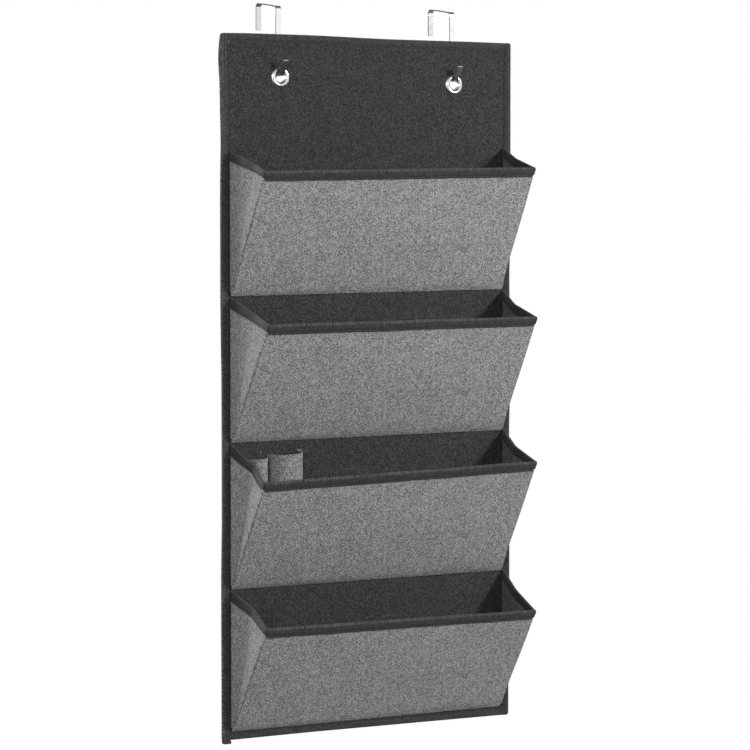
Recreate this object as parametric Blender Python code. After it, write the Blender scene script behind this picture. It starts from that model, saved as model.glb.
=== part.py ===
"""Hanging file organizer for a door: a stiffened cloth panel with four cascading pockets on two hooks.

Units are metres. X runs to the right, Y into the door and Z up.
The origin is the middle of the door's top front edge, where the hooks' front bends bear.
"""

import math

import bmesh
import bpy
from mathutils import Vector

# The running gap between pieces that touch.
CLEARANCE = 0.0003

# Sheet materials.
COVER_CLOTH = 0.0007
BACK_CLOTH = 0.0005
LINING_CLOTH = 0.0005
GUSSET_CLOTH = 0.0012
TAPE_THICKNESS = 0.0005
PANEL_BOARD = 0.0010
POCKET_BOARD = 0.0012

# The panel and its edge tape.
PANEL_WIDTH = 0.368
PANEL_HEIGHT = 0.762
PANEL_HANG = 0.032
PANEL_CORNER_RADIUS = 0.003
BINDING_WIDTH = 0.009
TAIL_LENGTH = 0.0055

# The pockets, from the top one down.
HEADER_HEIGHT = 0.1189
POCKET_SIDE_INSET = 0.0106
POCKET_GAP = 0.0026
BOTTOM_SEAM_INSET = 0.0025
POCKET_CORNER_RADIUS = 0.002
LOOSE_CORNER_RADIUS = 0.008
POCKET_RIM_WIDTH = 0.0095
SEAM_SHARES = (0.2513, 0.5019, 0.7565, 1.0)
FRONT_HEIGHT_SHARES = (0.955, 0.950, 0.903, 0.918)
OPEN_DEGREES = (27.0, 29.6, 28.3, 31.4)

# The side gussets: where the crease meets the top edge, and how far it folds in.
CREASE_PLACE_SHARE = 0.47
CREASE_SOFTNESS_SHARE = 0.07
FOLD_LEFT_SHARES = (0.043, 0.054, 0.087, 0.053)
FOLD_RIGHT_SHARES = (0.064, 0.059, 0.111, 0.041)
GUSSET_FOOT_SHARE = 0.97

# The pen sleeves inside the third pocket.
SLEEVE_POCKET = 3
SLEEVE_CLOTH = 0.0006
SLEEVE_SIDE_INSET = 0.0154
SLEEVE_TAB = 0.002
SLEEVE_HEIGHT = 0.090
NARROW_SLEEVE_WIDTH = 0.0235
NARROW_SLEEVE_BULGE = 0.008
NARROW_SLEEVE_DROP = 0.0182
WIDE_SLEEVE_WIDTH = 0.042
WIDE_SLEEVE_BULGE = 0.009
WIDE_SLEEVE_DROP = 0.0142

# The grommets.
GROMMET_SPACING = 0.220
GROMMET_DROP = 0.047
GROMMET_BORE_RADIUS = 0.0055
GROMMET_RADIUS = 0.011
GROMMET_METAL = 0.0004
GROMMET_DOME = 0.0016
GROMMET_LIP_RADIUS = 0.0073
GROMMET_LIP_ROUNDING = 0.0008
WASHER_RADIUS = 0.010
WASHER_THICKNESS = 0.0006

# The door hooks.
HOOK_WIDTH = 0.0064
HOOK_THICKNESS = 0.0015
DOOR_THICKNESS = 0.045
HOOK_BEND_RADIUS = 0.003
HOOK_TOP_DEGREES = 7.0
HOOK_BACK_LEG = 0.0231
HOOK_CROOK_SLACK = 0.00075
HOOK_TIP_LENGTH = 0.0165
HOOK_TIP_DEGREES = 56.0

# Smoothness of the round stretches.
CORNER_STEPS = 4
BEND_STEPS = 6
CROOK_STEPS = 14
SLEEVE_STEPS = 12
DOME_STEPS = 8
LIP_STEPS = 4
TURNED_STEPS = 32
SHARP_DEGREES = 35.0

# Worked out from the sizes above.
HALF_WIDTH = PANEL_WIDTH / 2
POCKET_HALF = HALF_WIDTH - POCKET_SIDE_INSET
PANEL_THICKNESS = COVER_CLOTH + CLEARANCE + PANEL_BOARD + CLEARANCE + BACK_CLOTH
WASHER_BACK = PANEL_THICKNESS + CLEARANCE + WASHER_THICKNESS
LIP_FRONT = WASHER_BACK + CLEARANCE
BARREL_BACK = LIP_FRONT + GROMMET_METAL - GROMMET_LIP_ROUNDING
BARREL_MIDDLE = (BARREL_BACK - CLEARANCE) / 2
BARREL_HALF = (BARREL_BACK + CLEARANCE) / 2
CROOK_RADIUS = BARREL_MIDDLE + CLEARANCE + GROMMET_DOME + HOOK_CROOK_SLACK
CROOK_Y = -HOOK_THICKNESS - CROOK_RADIUS
PANEL_FRONT_Y = CROOK_Y - BARREL_MIDDLE
PANEL_BACK_Y = PANEL_FRONT_Y + PANEL_THICKNESS
PANEL_TOP_Z = -PANEL_HANG
PANEL_BOTTOM_Z = PANEL_TOP_Z - PANEL_HEIGHT
GROMMET_Z = PANEL_TOP_Z - GROMMET_DROP
BORE_RISE = math.sqrt(GROMMET_BORE_RADIUS**2 - (HOOK_WIDTH / 2) ** 2)
CROOK_RISE = math.sqrt((CROOK_RADIUS - CLEARANCE) ** 2 - BARREL_HALF**2)
CROOK_Z = GROMMET_Z + BORE_RISE + CROOK_RISE
POCKET_STACK = LINING_CLOTH + CLEARANCE + POCKET_BOARD + CLEARANCE + COVER_CLOTH
SEAM_Y = PANEL_FRONT_Y - CLEARANCE
LAST_SEAM_DROP = PANEL_HEIGHT - BINDING_WIDTH - BOTTOM_SEAM_INSET
GUSSET_SETBACK = CLEARANCE + TAPE_THICKNESS + CLEARANCE

# Colours, roughness and metallic values.
DARK_CLOTH = ((0.052, 0.052, 0.054), 0.92, 0.0)
GREY_CLOTH = ((0.225, 0.225, 0.227), 0.93, 0.0)
DARK_TAPE = ((0.045, 0.045, 0.047), 0.85, 0.0)
STIFFENER = ((0.32, 0.30, 0.27), 0.8, 0.0)
CHROME = ((0.80, 0.80, 0.82), 0.12, 1.0)
HOOK_STEEL = ((0.72, 0.72, 0.73), 0.22, 1.0)


def clear_scene():
    """Removes every object that is already there."""
    for item in list(bpy.data.objects):
        bpy.data.objects.remove(item, do_unlink=True)


def make_material(name, look):
    """A Principled material from a colour, a roughness and a metallic value."""
    colour, roughness, metallic = look
    material = bpy.data.materials.new(name)
    material.use_nodes = True
    shader = material.node_tree.nodes["Principled BSDF"]
    shader.inputs["Base Color"].default_value = (*colour, 1.0)
    shader.inputs["Roughness"].default_value = roughness
    shader.inputs["Metallic"].default_value = metallic
    return material


def make_object(name, form, look, place=(0, 0, 0), parent=None):
    """Turns a finished form into a named object, with its origin at a place or on a parent."""
    bmesh.ops.recalc_face_normals(form, faces=form.faces)
    mesh = bpy.data.meshes.new(name)
    form.to_mesh(mesh)
    form.free()
    mesh.shade_smooth()
    mesh.set_sharp_from_angle(angle=math.radians(SHARP_DEGREES))
    mesh.materials.append(make_material(name, look))
    item = bpy.data.objects.new(name, mesh)
    item.location = place
    item.parent = parent
    bpy.context.collection.objects.link(item)
    return item


def make_pivot(name, place, degrees=0.0):
    """An empty on a joint's axis, turned about X."""
    pivot = bpy.data.objects.new(name, None)
    pivot.location = place
    pivot.rotation_euler = (math.radians(degrees), 0, 0)
    bpy.context.collection.objects.link(pivot)
    return pivot


def bridge(form, first, second):
    """Joins two rings of points with a band of faces."""
    for index in range(len(first)):
        following = (index + 1) % len(first)
        form.faces.new((first[index], first[following], second[following], second[index]))


def loft(sections, closed=False):
    """A solid through sections of equal point counts, with flat ends or closed on itself."""
    form = bmesh.new()
    rings = [[form.verts.new(point) for point in section] for section in sections]
    for first, second in zip(rings, rings[1:]):
        bridge(form, first, second)
    if closed:
        bridge(form, rings[-1], rings[0])
    else:
        form.faces.new(rings[0])
        form.faces.new(rings[-1])
    return form


def plate(loops, front_y, back_y):
    """A flat sheet in the XZ plane. The first loop is its outline and the rest are holes."""
    form = bmesh.new()
    edges = []
    for loop in loops:
        points = [form.verts.new((x, front_y, z)) for x, z in loop]
        for index in range(len(points)):
            edges.append(form.edges.new((points[index - 1], points[index])))
    filled = bmesh.ops.triangle_fill(form, use_beauty=True, use_dissolve=False, edges=edges)
    faces = [part for part in filled["geom"] if isinstance(part, bmesh.types.BMFace)]
    grown = bmesh.ops.extrude_face_region(form, geom=faces)
    moved = [part for part in grown["geom"] if isinstance(part, bmesh.types.BMVert)]
    bmesh.ops.translate(form, verts=moved, vec=(0, back_y - front_y, 0))
    return form


def arc(centre, radius, start, stop, steps):
    """Points on an arc, with its angles in degrees from the first axis towards the second."""
    points = []
    for index in range(steps + 1):
        angle = math.radians(start + (stop - start) * index / steps)
        points.append((centre[0] + radius * math.cos(angle), centre[1] + radius * math.sin(angle)))
    return points


def circle(centre, radius, steps):
    """A closed round loop."""
    return arc(centre, radius, 0, 360, steps)[:-1]


def rounded_box(left, right, low, high, radii):
    """A rectangle's outline with a radius for each corner: low left, low right, high right, high left."""
    low_left, low_right, high_right, high_left = radii
    outline = arc((left + low_left, low + low_left), low_left, 180, 270, CORNER_STEPS)
    outline += arc((right - low_right, low + low_right), low_right, 270, 360, CORNER_STEPS)
    outline += arc((right - high_right, high - high_right), high_right, 0, 90, CORNER_STEPS)
    outline += arc((left + high_left, high - high_left), high_left, 90, 180, CORNER_STEPS)
    return outline


def turned(profile):
    """A ring turned about the Y axis from a closed profile of radius and Y."""
    sections = []
    for index in range(TURNED_STEPS):
        angle = 2 * math.pi * index / TURNED_STEPS
        across = math.cos(angle)
        upward = math.sin(angle)
        sections.append([(radius * across, y, radius * upward) for radius, y in profile])
    return loft(sections, closed=True)


def grommet_places():
    """The middles of the two grommet holes, each with its side's name."""
    half = GROMMET_SPACING / 2
    return (("left", -half), ("right", half))


def panel_loops(hole_radius):
    """The outline of the panel's sheets inside the edge tape, and their grommet holes."""
    margin = TAPE_THICKNESS + CLEARANCE
    radius = PANEL_CORNER_RADIUS - margin
    side = HALF_WIDTH - margin
    low = PANEL_BOTTOM_Z + margin
    high = PANEL_TOP_Z - margin
    loops = [rounded_box(-side, side, low, high, (radius, radius, radius, radius))]
    for _, x in grommet_places():
        loops.append(circle((x, GROMMET_Z), hole_radius, TURNED_STEPS))
    return loops


def build_panel():
    """The panel's front cloth, stiffening sheet and rear cloth, one behind the other."""
    hole = GROMMET_BORE_RADIUS + GROMMET_METAL + CLEARANCE
    front = PANEL_FRONT_Y
    cover_back = front + COVER_CLOTH
    board_front = cover_back + CLEARANCE
    board_back = board_front + PANEL_BOARD
    rear_front = board_back + CLEARANCE
    make_object("panel_cover_front", plate(panel_loops(hole), front, cover_back), DARK_CLOTH)
    make_object("panel_board", plate(panel_loops(hole), board_front, board_back), STIFFENER)
    make_object("panel_cover_back", plate(panel_loops(hole), rear_front, PANEL_BACK_Y), DARK_CLOTH)


def tape_section(edge, inner, pinch):
    """The U of an edge tape as pairs of a place across the panel and a Y, open towards inner."""
    middle = (PANEL_FRONT_Y + PANEL_BACK_Y) / 2
    slot_half = PANEL_THICKNESS / 2 + CLEARANCE
    slot_half += (CLEARANCE / 2 - slot_half) * pinch
    outer_half = slot_half + TAPE_THICKNESS
    inward = math.copysign(TAPE_THICKNESS, inner - edge)
    return [
        (inner, middle - outer_half),
        (edge, middle - outer_half),
        (edge, middle + outer_half),
        (inner, middle + outer_half),
        (inner, middle + slot_half),
        (edge + inward, middle + slot_half),
        (edge + inward, middle - slot_half),
        (inner, middle - slot_half),
    ]


def corner_steps(end, direction):
    """Heights near a rounded end of a side tape, and how far its outer edge draws in at each."""
    radius = PANEL_CORNER_RADIUS
    steps = []
    for index in range(CORNER_STEPS + 1):
        angle = math.radians(90 * index / CORNER_STEPS)
        height = end + direction * radius * (1 - math.cos(angle))
        steps.append((height, radius * (1 - math.sin(angle))))
    return steps


def side_tape(side, tail):
    """The tape on one upright edge, rounded at its ends, with a pinched tail below the panel."""
    foot = PANEL_BOTTOM_Z - tail
    inner = side * (HALF_WIDTH - BINDING_WIDTH)
    stations = [(z, inset, 1.0 if tail else 0.0) for z, inset in corner_steps(foot, 1)]
    if tail:
        stations.append((PANEL_BOTTOM_Z, 0.0, 0.0))
    stations += [(z, inset, 0.0) for z, inset in reversed(corner_steps(PANEL_TOP_Z, -1))]
    sections = []
    for z, inset, pinch in stations:
        outline = tape_section(side * (HALF_WIDTH - inset), inner, pinch)
        sections.append([(x, y, z) for x, y in outline])
    return loft(sections)


def level_tape(edge, inner):
    """The tape on the top or bottom edge, between the side tapes."""
    half = HALF_WIDTH - BINDING_WIDTH - CLEARANCE
    outline = tape_section(edge, inner, 0.0)
    return loft([[(x, y, z) for z, y in outline] for x in (-half, half)])


def build_bindings():
    """The four edge tapes."""
    make_object("binding_left", side_tape(-1, TAIL_LENGTH), DARK_TAPE)
    make_object("binding_right", side_tape(1, 0), DARK_TAPE)
    make_object("binding_top", level_tape(PANEL_TOP_Z, PANEL_TOP_Z - BINDING_WIDTH), DARK_TAPE)
    make_object("binding_bottom", level_tape(PANEL_BOTTOM_Z, PANEL_BOTTOM_Z + BINDING_WIDTH), DARK_TAPE)


def grommet_profile():
    """The eyelet's section as radius and Y from the panel's front: dome, barrel and rolled lip."""
    middle = (GROMMET_BORE_RADIUS + GROMMET_RADIUS) / 2
    reach = (GROMMET_RADIUS - GROMMET_BORE_RADIUS) / 2
    profile = []
    for index in range(DOME_STEPS + 1):
        angle = math.pi * index / DOME_STEPS
        radius = middle + reach * math.cos(angle)
        profile.append((radius, -CLEARANCE - GROMMET_DOME * math.sin(angle)))
    corner = (GROMMET_BORE_RADIUS + GROMMET_LIP_ROUNDING, BARREL_BACK)
    profile += arc(corner, GROMMET_LIP_ROUNDING, 180, 90, LIP_STEPS)
    profile.append((GROMMET_LIP_RADIUS, LIP_FRONT + GROMMET_METAL))
    profile.append((GROMMET_LIP_RADIUS, LIP_FRONT))
    profile.append((GROMMET_BORE_RADIUS + GROMMET_METAL, LIP_FRONT))
    for index in range(DOME_STEPS + 1):
        angle = math.pi * (1 - index / DOME_STEPS)
        radius = middle + (reach - GROMMET_METAL) * math.cos(angle)
        profile.append((radius, -CLEARANCE - (GROMMET_DOME - GROMMET_METAL) * math.sin(angle)))
    return profile


def washer_profile():
    """The flat ring that the eyelet is closed over, behind the panel."""
    bore = GROMMET_BORE_RADIUS + GROMMET_METAL + CLEARANCE
    front = PANEL_THICKNESS + CLEARANCE
    return [(bore, front), (WASHER_RADIUS, front), (WASHER_RADIUS, WASHER_BACK), (bore, WASHER_BACK)]


def build_grommets():
    """Both eyelets with their washers."""
    for side, x in grommet_places():
        place = (x, PANEL_FRONT_Y, GROMMET_Z)
        make_object(f"grommet_{side}", turned(grommet_profile()), CHROME, place)
        make_object(f"grommet_washer_{side}", turned(washer_profile()), CHROME, place)


def hook_faces():
    """The hook strip's door face and room face, as matching lists of Y and Z from the door's edge.

    The top rises a little towards the back, so the strip bears on the door at its front bend."""
    bend = HOOK_BEND_RADIUS
    outer_bend = bend + HOOK_THICKNESS
    back = DOOR_THICKNESS
    lift = (back - 2 * bend) * math.tan(math.radians(HOOK_TOP_DEGREES))
    turned_back = 90 + HOOK_TOP_DEGREES
    door_face = [(back, -HOOK_BACK_LEG)]
    room_face = [(back + HOOK_THICKNESS, -HOOK_BACK_LEG)]
    bends = (((back - bend, lift - bend), 0, turned_back), ((bend, -bend), turned_back, 180))
    for centre, start, stop in bends:
        door_face += arc(centre, bend, start, stop, BEND_STEPS)
        room_face += arc(centre, outer_bend, start, stop, BEND_STEPS)
    crook = (CROOK_Y, CROOK_Z)
    turn = -90 - HOOK_TIP_DEGREES
    door_face += arc(crook, CROOK_RADIUS + HOOK_THICKNESS, 0, turn, CROOK_STEPS)
    room_face += arc(crook, CROOK_RADIUS, 0, turn, CROOK_STEPS)
    tip = math.radians(HOOK_TIP_DEGREES)
    along = (-HOOK_TIP_LENGTH * math.cos(tip), HOOK_TIP_LENGTH * math.sin(tip))
    door_face.append((door_face[-1][0] + along[0], door_face[-1][1] + along[1]))
    room_face.append((room_face[-1][0] + along[0], room_face[-1][1] + along[1]))
    return door_face, room_face


def hook_form():
    """The bent strip, with its points measured from the crook's centre."""
    half = HOOK_WIDTH / 2
    sections = []
    for (door_y, door_z), (room_y, room_z) in zip(*hook_faces()):
        door = (door_y - CROOK_Y, door_z - CROOK_Z)
        room = (room_y - CROOK_Y, room_z - CROOK_Z)
        sections.append([(-half, *room), (half, *room), (half, *door), (-half, *door)])
    return loft(sections)


def build_hooks():
    """Both door hooks, each on an empty at its crook."""
    for side, x in grommet_places():
        pivot = make_pivot(f"hook_{side}_pivot", (x, CROOK_Y, CROOK_Z))
        make_object(f"hook_{side}", hook_form(), HOOK_STEEL, parent=pivot)


def pocket_seam_z(number):
    """The height of a pocket's bottom seam, which is its hinge."""
    stretch = LAST_SEAM_DROP - HEADER_HEIGHT
    return PANEL_TOP_Z - HEADER_HEIGHT - stretch * SEAM_SHARES[number - 1]


def pocket_back_height(number):
    """How far the gussets reach up the panel from the pocket's seam."""
    if number == 1:
        top = PANEL_TOP_Z - HEADER_HEIGHT
    else:
        top = pocket_seam_z(number - 1) - POCKET_GAP
    return top - pocket_seam_z(number)


def pocket_front_height(number):
    """The height of a pocket's front along its slope, up to the rim's top."""
    return pocket_back_height(number) * FRONT_HEIGHT_SHARES[number - 1]


def corner_radii(number, inset):
    """The radii of a front's corners. The last pocket's lower right corner curls round loosely."""
    plain = POCKET_CORNER_RADIUS - inset
    loose = LOOSE_CORNER_RADIUS - inset
    low_right = loose if number == len(SEAM_SHARES) else plain
    return (plain, low_right, plain, plain)


def front_outline(number, inset):
    """A pocket front's outline, drawn in by an inset, with the seam at zero height."""
    top = pocket_front_height(number) - TAPE_THICKNESS - CLEARANCE - inset
    side = POCKET_HALF - inset
    return rounded_box(-side, side, inset, top, corner_radii(number, inset))


def cover_form(number):
    """The front's outer cloth, turned in over the edges of its board and lining."""
    outer = front_outline(number, 0)
    inner = front_outline(number, COVER_CLOTH)
    face = -POCKET_STACK
    floor = face + COVER_CLOTH
    rings = [(outer, face), (outer, 0), (inner, 0), (inner, floor)]
    return loft([[(x, y, z) for x, z in outline] for outline, y in rings])


def rim_form(number):
    """The tape folded over a front's top edge."""
    top = pocket_front_height(number)
    low = top - POCKET_RIM_WIDTH
    under = top - TAPE_THICKNESS
    inside = CLEARANCE
    outside = -POCKET_STACK - CLEARANCE
    outline = [
        (inside + TAPE_THICKNESS, low),
        (inside + TAPE_THICKNESS, top),
        (outside - TAPE_THICKNESS, top),
        (outside - TAPE_THICKNESS, low),
        (outside, low),
        (outside, under),
        (inside, under),
        (inside, low),
    ]
    return loft([[(x, y, z) for y, z in outline] for x in (-POCKET_HALF, POCKET_HALF)])


def build_pocket_front(number):
    """A pocket's front, modelled upright on an empty that leans it out about its seam."""
    seam = (0, SEAM_Y, pocket_seam_z(number))
    pivot = make_pivot(f"pocket_{number}_hinge", seam, OPEN_DEGREES[number - 1])
    inner = [front_outline(number, COVER_CLOTH + CLEARANCE)]
    board_back = -LINING_CLOTH - CLEARANCE
    board_front = board_back - POCKET_BOARD
    lining = plate(inner, -LINING_CLOTH, 0)
    board = plate(inner, board_front, board_back)
    make_object(f"pocket_front_{number}", cover_form(number), GREY_CLOTH, parent=pivot)
    make_object(f"pocket_lining_{number}", lining, DARK_CLOTH, parent=pivot)
    make_object(f"pocket_board_{number}", board, STIFFENER, parent=pivot)
    make_object(f"pocket_rim_{number}", rim_form(number), DARK_TAPE, parent=pivot)


def crease_rise(share, fold):
    """How far the gusset stands in at a share of its top edge: straight flanks with a soft crest."""
    place = CREASE_PLACE_SHARE
    flank = place if share < place else 1 - place
    distance = abs(share - place)
    if distance < CREASE_SOFTNESS_SHARE:
        distance = (distance**2 / CREASE_SOFTNESS_SHARE + CREASE_SOFTNESS_SHARE) / 2
    return fold * (1 - distance / flank)


def crease_shares():
    """Places along the gusset's top edge, close together at the crease."""
    place = CREASE_PLACE_SHARE
    soft = CREASE_SOFTNESS_SHARE
    crest = (place - soft, place - soft / 2, place, place + soft / 2, place + soft)
    return (0.0, place / 2, *crest, (1 + place) / 2, 1.0)


def gusset_rays(number, side, fold_share):
    """For places along a gusset's top edge: the top point, and the direction and distance to its foot."""
    lean = math.radians(OPEN_DEGREES[number - 1])
    height = pocket_front_height(number)
    rear = Vector((0, pocket_back_height(number)))
    front_y = -height * math.sin(lean) + GUSSET_SETBACK * math.cos(lean)
    front_z = height * math.cos(lean) + GUSSET_SETBACK * math.sin(lean)
    front = Vector((front_y, front_z))
    fold = fold_share * (front - rear).length
    foot = Vector((side * POCKET_HALF, 0, GUSSET_SETBACK / math.sin(lean)))
    rays = []
    for share in crease_shares():
        y, z = rear.lerp(front, share)
        x = side * (POCKET_HALF - crease_rise(share, fold))
        top = Vector((x, y, z))
        rays.append((top, (foot - top).normalized(), (foot - top).length))
    return rays


def gusset_form(rays, side):
    """The gusset's cloth: a sheet between the panel and the front, creased inward."""
    start = TAPE_THICKNESS + CLEARANCE
    inward = Vector((-side * GUSSET_CLOTH, 0, 0))
    sections = []
    for top, direction, length in rays:
        high = top + direction * start
        low = top + direction * length * GUSSET_FOOT_SHARE
        sections.append([high, low, low + inward, high + inward])
    return loft(sections)


def gusset_tape_form(rays, side):
    """The tape folded over the gusset's top edge, bent with it at the crease."""
    outside = CLEARANCE
    inside = -GUSSET_CLOTH - CLEARANCE
    outline = [
        (outside + TAPE_THICKNESS, POCKET_RIM_WIDTH),
        (outside + TAPE_THICKNESS, 0),
        (inside - TAPE_THICKNESS, 0),
        (inside - TAPE_THICKNESS, POCKET_RIM_WIDTH),
        (inside, POCKET_RIM_WIDTH),
        (inside, TAPE_THICKNESS),
        (outside, TAPE_THICKNESS),
        (outside, POCKET_RIM_WIDTH),
    ]
    sections = []
    for top, direction, _ in rays:
        sections.append([top + direction * down + Vector((side * out, 0, 0)) for out, down in outline])
    return loft(sections)


def build_gussets(number):
    """Both side gussets of a pocket with their tapes, measured from the pocket's seam."""
    seam = (0, SEAM_Y, pocket_seam_z(number))
    for name, side, shares in (("left", -1, FOLD_LEFT_SHARES), ("right", 1, FOLD_RIGHT_SHARES)):
        rays = gusset_rays(number, side, shares[number - 1])
        make_object(f"gusset_{name}_{number}", gusset_form(rays, side), GREY_CLOTH, seam)
        make_object(f"gusset_binding_{name}_{number}", gusset_tape_form(rays, side), DARK_TAPE, seam)


def sleeve_form(width, bulge):
    """A strip bulging forward between two sewn tabs, with its top at zero height."""
    half = width / 2
    cloth = SLEEVE_CLOTH
    outer_half = half + cloth
    outer_bulge = bulge + cloth
    end = outer_half + SLEEVE_TAB
    lift = math.degrees(math.asin(cloth / outer_bulge))
    pairs = [((-end, -cloth), (-end, 0))]
    for index in range(SLEEVE_STEPS + 1):
        share = index / SLEEVE_STEPS
        outer_angle = math.radians(180 - lift - (180 - 2 * lift) * share)
        inner_angle = math.radians(180 - 180 * share)
        outer = (outer_half * math.cos(outer_angle), -outer_bulge * math.sin(outer_angle))
        inner = (half * math.cos(inner_angle), -bulge * math.sin(inner_angle))
        pairs.append((outer, inner))
    pairs.append(((end, -cloth), (end, 0)))
    sections = []
    for outer, inner in pairs:
        sections.append([(*outer, 0), (*inner, 0), (*inner, -SLEEVE_HEIGHT), (*outer, -SLEEVE_HEIGHT)])
    return loft(sections)


def build_sleeves():
    """The two pen sleeves, sewn side by side to the panel inside the third pocket."""
    pocket_top = pocket_seam_z(SLEEVE_POCKET) + pocket_back_height(SLEEVE_POCKET)
    edge = SLEEVE_CLOTH + SLEEVE_TAB
    narrow_x = -POCKET_HALF + SLEEVE_SIDE_INSET + edge + NARROW_SLEEVE_WIDTH / 2
    wide_x = narrow_x + NARROW_SLEEVE_WIDTH / 2 + edge + CLEARANCE + edge + WIDE_SLEEVE_WIDTH / 2
    narrow = sleeve_form(NARROW_SLEEVE_WIDTH, NARROW_SLEEVE_BULGE)
    wide = sleeve_form(WIDE_SLEEVE_WIDTH, WIDE_SLEEVE_BULGE)
    narrow_place = (narrow_x, SEAM_Y, pocket_top - NARROW_SLEEVE_DROP)
    wide_place = (wide_x, SEAM_Y, pocket_top - WIDE_SLEEVE_DROP)
    make_object("pen_sleeve_narrow", narrow, GREY_CLOTH, narrow_place)
    make_object("pen_sleeve_wide", wide, GREY_CLOTH, wide_place)


def main():
    clear_scene()
    build_panel()
    build_bindings()
    build_grommets()
    build_hooks()
    for number in range(1, len(SEAM_SHARES) + 1):
        build_pocket_front(number)
        build_gussets(number)
    build_sleeves()
    bpy.context.view_layer.update()


main()
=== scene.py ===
import math
import random

import bmesh
import bpy
import numpy as np
from mathutils import Matrix, Vector

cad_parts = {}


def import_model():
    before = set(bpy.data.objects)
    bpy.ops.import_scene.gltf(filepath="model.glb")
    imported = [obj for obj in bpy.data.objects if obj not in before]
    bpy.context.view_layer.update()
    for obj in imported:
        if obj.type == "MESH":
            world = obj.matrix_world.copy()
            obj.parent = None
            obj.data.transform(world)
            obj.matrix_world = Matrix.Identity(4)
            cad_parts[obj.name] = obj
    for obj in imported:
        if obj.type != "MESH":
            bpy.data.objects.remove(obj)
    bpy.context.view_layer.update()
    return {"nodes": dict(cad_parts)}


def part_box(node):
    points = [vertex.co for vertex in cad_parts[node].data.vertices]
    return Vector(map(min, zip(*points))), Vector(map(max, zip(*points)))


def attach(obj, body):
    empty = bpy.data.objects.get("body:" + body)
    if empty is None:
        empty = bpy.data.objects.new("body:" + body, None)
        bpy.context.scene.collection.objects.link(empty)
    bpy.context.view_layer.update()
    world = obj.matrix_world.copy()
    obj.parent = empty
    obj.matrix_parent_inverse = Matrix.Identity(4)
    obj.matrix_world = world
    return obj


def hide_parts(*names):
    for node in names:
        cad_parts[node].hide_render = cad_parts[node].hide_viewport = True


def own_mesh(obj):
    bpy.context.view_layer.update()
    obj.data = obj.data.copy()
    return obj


# Sizes are in metres and angles in degrees. Rows of four numbers are the pockets, from the top down.
PANEL_HALF = 0.184
PANEL_TOP = -0.032
PANEL_BOTTOM = -0.794
PANEL_FRONT = -0.00745
PANEL_BACK = -0.00465
SEAM_Y = PANEL_FRONT - 0.0003
BINDING = 0.009
TAIL = 0.0042
POCKET_HALF = 0.1734
STACK = 0.0031
RIM = 0.0107
ROLL_DEPTH = 0.0016
ROLL_REACH = 0.011
OPEN = (27.0, 29.6, 28.3, 31.4)
OPEN_LEFT = (30.7, 33.8, 32.3, 34.0)
OPEN_RIGHT = (25.5, 28.0, 28.4, 30.3)
SEAM_DROPS = (0.27762, 0.43590, 0.59671, 0.75050)
TOP_DROPS = (0.11890, 0.28022, 0.43850, 0.59931)
FRONT_SHARES = (0.955, 0.950, 0.903, 0.918)
SHARES_LEFT = (0.976, 1.005, 0.914, 0.971)
SHARES_RIGHT = (0.954, 0.951, 0.928, 0.902)
SHIFTS_LEFT = (-0.0020, -0.0019, -0.0004, -0.0011)
SHIFTS_RIGHT = (0.0008, -0.0008, 0.0, -0.0019)
TOP_LIFTS_LEFT = (-0.0060, -0.0017, -0.0013, 0.0)
TOP_LIFTS_RIGHT = (0.0014, 0.0020, 0.0027, 0.0036)
TOP_OUT = 0.0015
DRAWS_RIGHT = (0.0029, 0.0019, 0.0023, 0.0031)
CREASES_LEFT = (0.63, 0.535, 0.437, 0.465)
CREASES_RIGHT = (0.487, 0.489, 0.514, 0.503)
FOLDS_LEFT = (0.055, 0.060, 0.127, 0.086)
FOLDS_RIGHT = (0.045, 0.089, 0.083, 0.054)
SAGS_LEFT = (0.0008, 0.0026, 0.0070, 0.0010)
SAGS_RIGHT = (0.0016, 0.0011, 0.0005, -0.0004)
TAPE_WIDTHS_LEFT = (0.96, 1.06, 1.18, 1.06)
TAPE_PINCHES_LEFT = (0.0, 0.05, 0.26, 0.05)
TAPE_NARROWING = 0.27
SOFT = 0.045
HOOK_X = {"left": -0.110, "right": 0.110}
EYELETS = {"left": (-0.1115, -0.0762), "right": (0.1086, -0.0799)}
CROOK_LIFTS = {"left": 0.0020, "right": 0.0}
CROOK_SLANTS = {"left": -0.0016, "right": 0.0}
CROOK_INSIDES = {"left": 0.0048, "right": 0.0043}
CROOK_Z = -0.07103
DOOR = 0.045
HOOK_BEND = 0.003
HOOK_TOP_RISE = 7.0
HOOK_BACK_LEG = 0.0231
TIP_SECTIONS = 14

LEFT_ROWS = (0.0050, 0.0080)
RIGHT_ROWS = (0.0054, 0.0078)
LEVEL_ROW = 0.0074
RIM_ROW = 0.0074
RIM_TRIM = 0.32

AMBIENT = 0.31
FLOOR_TONE = 0.35
FLOOR_Z = -2.03
FLOOR_RADIUS = 14

CAMERA_TURN = -30.0
CAMERA_PITCH = 3.228
CAMERA_LENS = 145.54
CAMERA_PLACE = (-1.66926, -2.91043, -0.21321)

# Each lamp's place, the point it faces, its size and its power.
LAMPS = {
    "key": ((1.35, -1.75, 0.36), (0, 0, -0.25), 0.5, 50),
    "side": ((-1.35, 2.35, 0.30), (-0.1, 0, -0.4), 1.3, 58),
    "left": ((-2.6, -0.15, 0.45), (-0.1, 0, -0.4), 0.9, 3),
    "front": ((-1.9, -2.2, 0.3), (-0.1, 0, -0.4), 0.9, 31),
}

# The grey weave: pitch, twill, tones of warp and weft, spread of single crossings and unevenness.
HEATHER = (0.00106, True, (0.83, 1.34), 0.74, 1.0)
# Rings of painted shade on a turned eyelet: radius, width and depth of their shade.
PAINTED_GROOVE_SHADES = ((0.0093, 0.0007, 0.42), (0.0070, 0.0006, 0.62), (0.0059, 0.0004, 0.6), (0.0109, 0.0003, 0.5))
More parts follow.
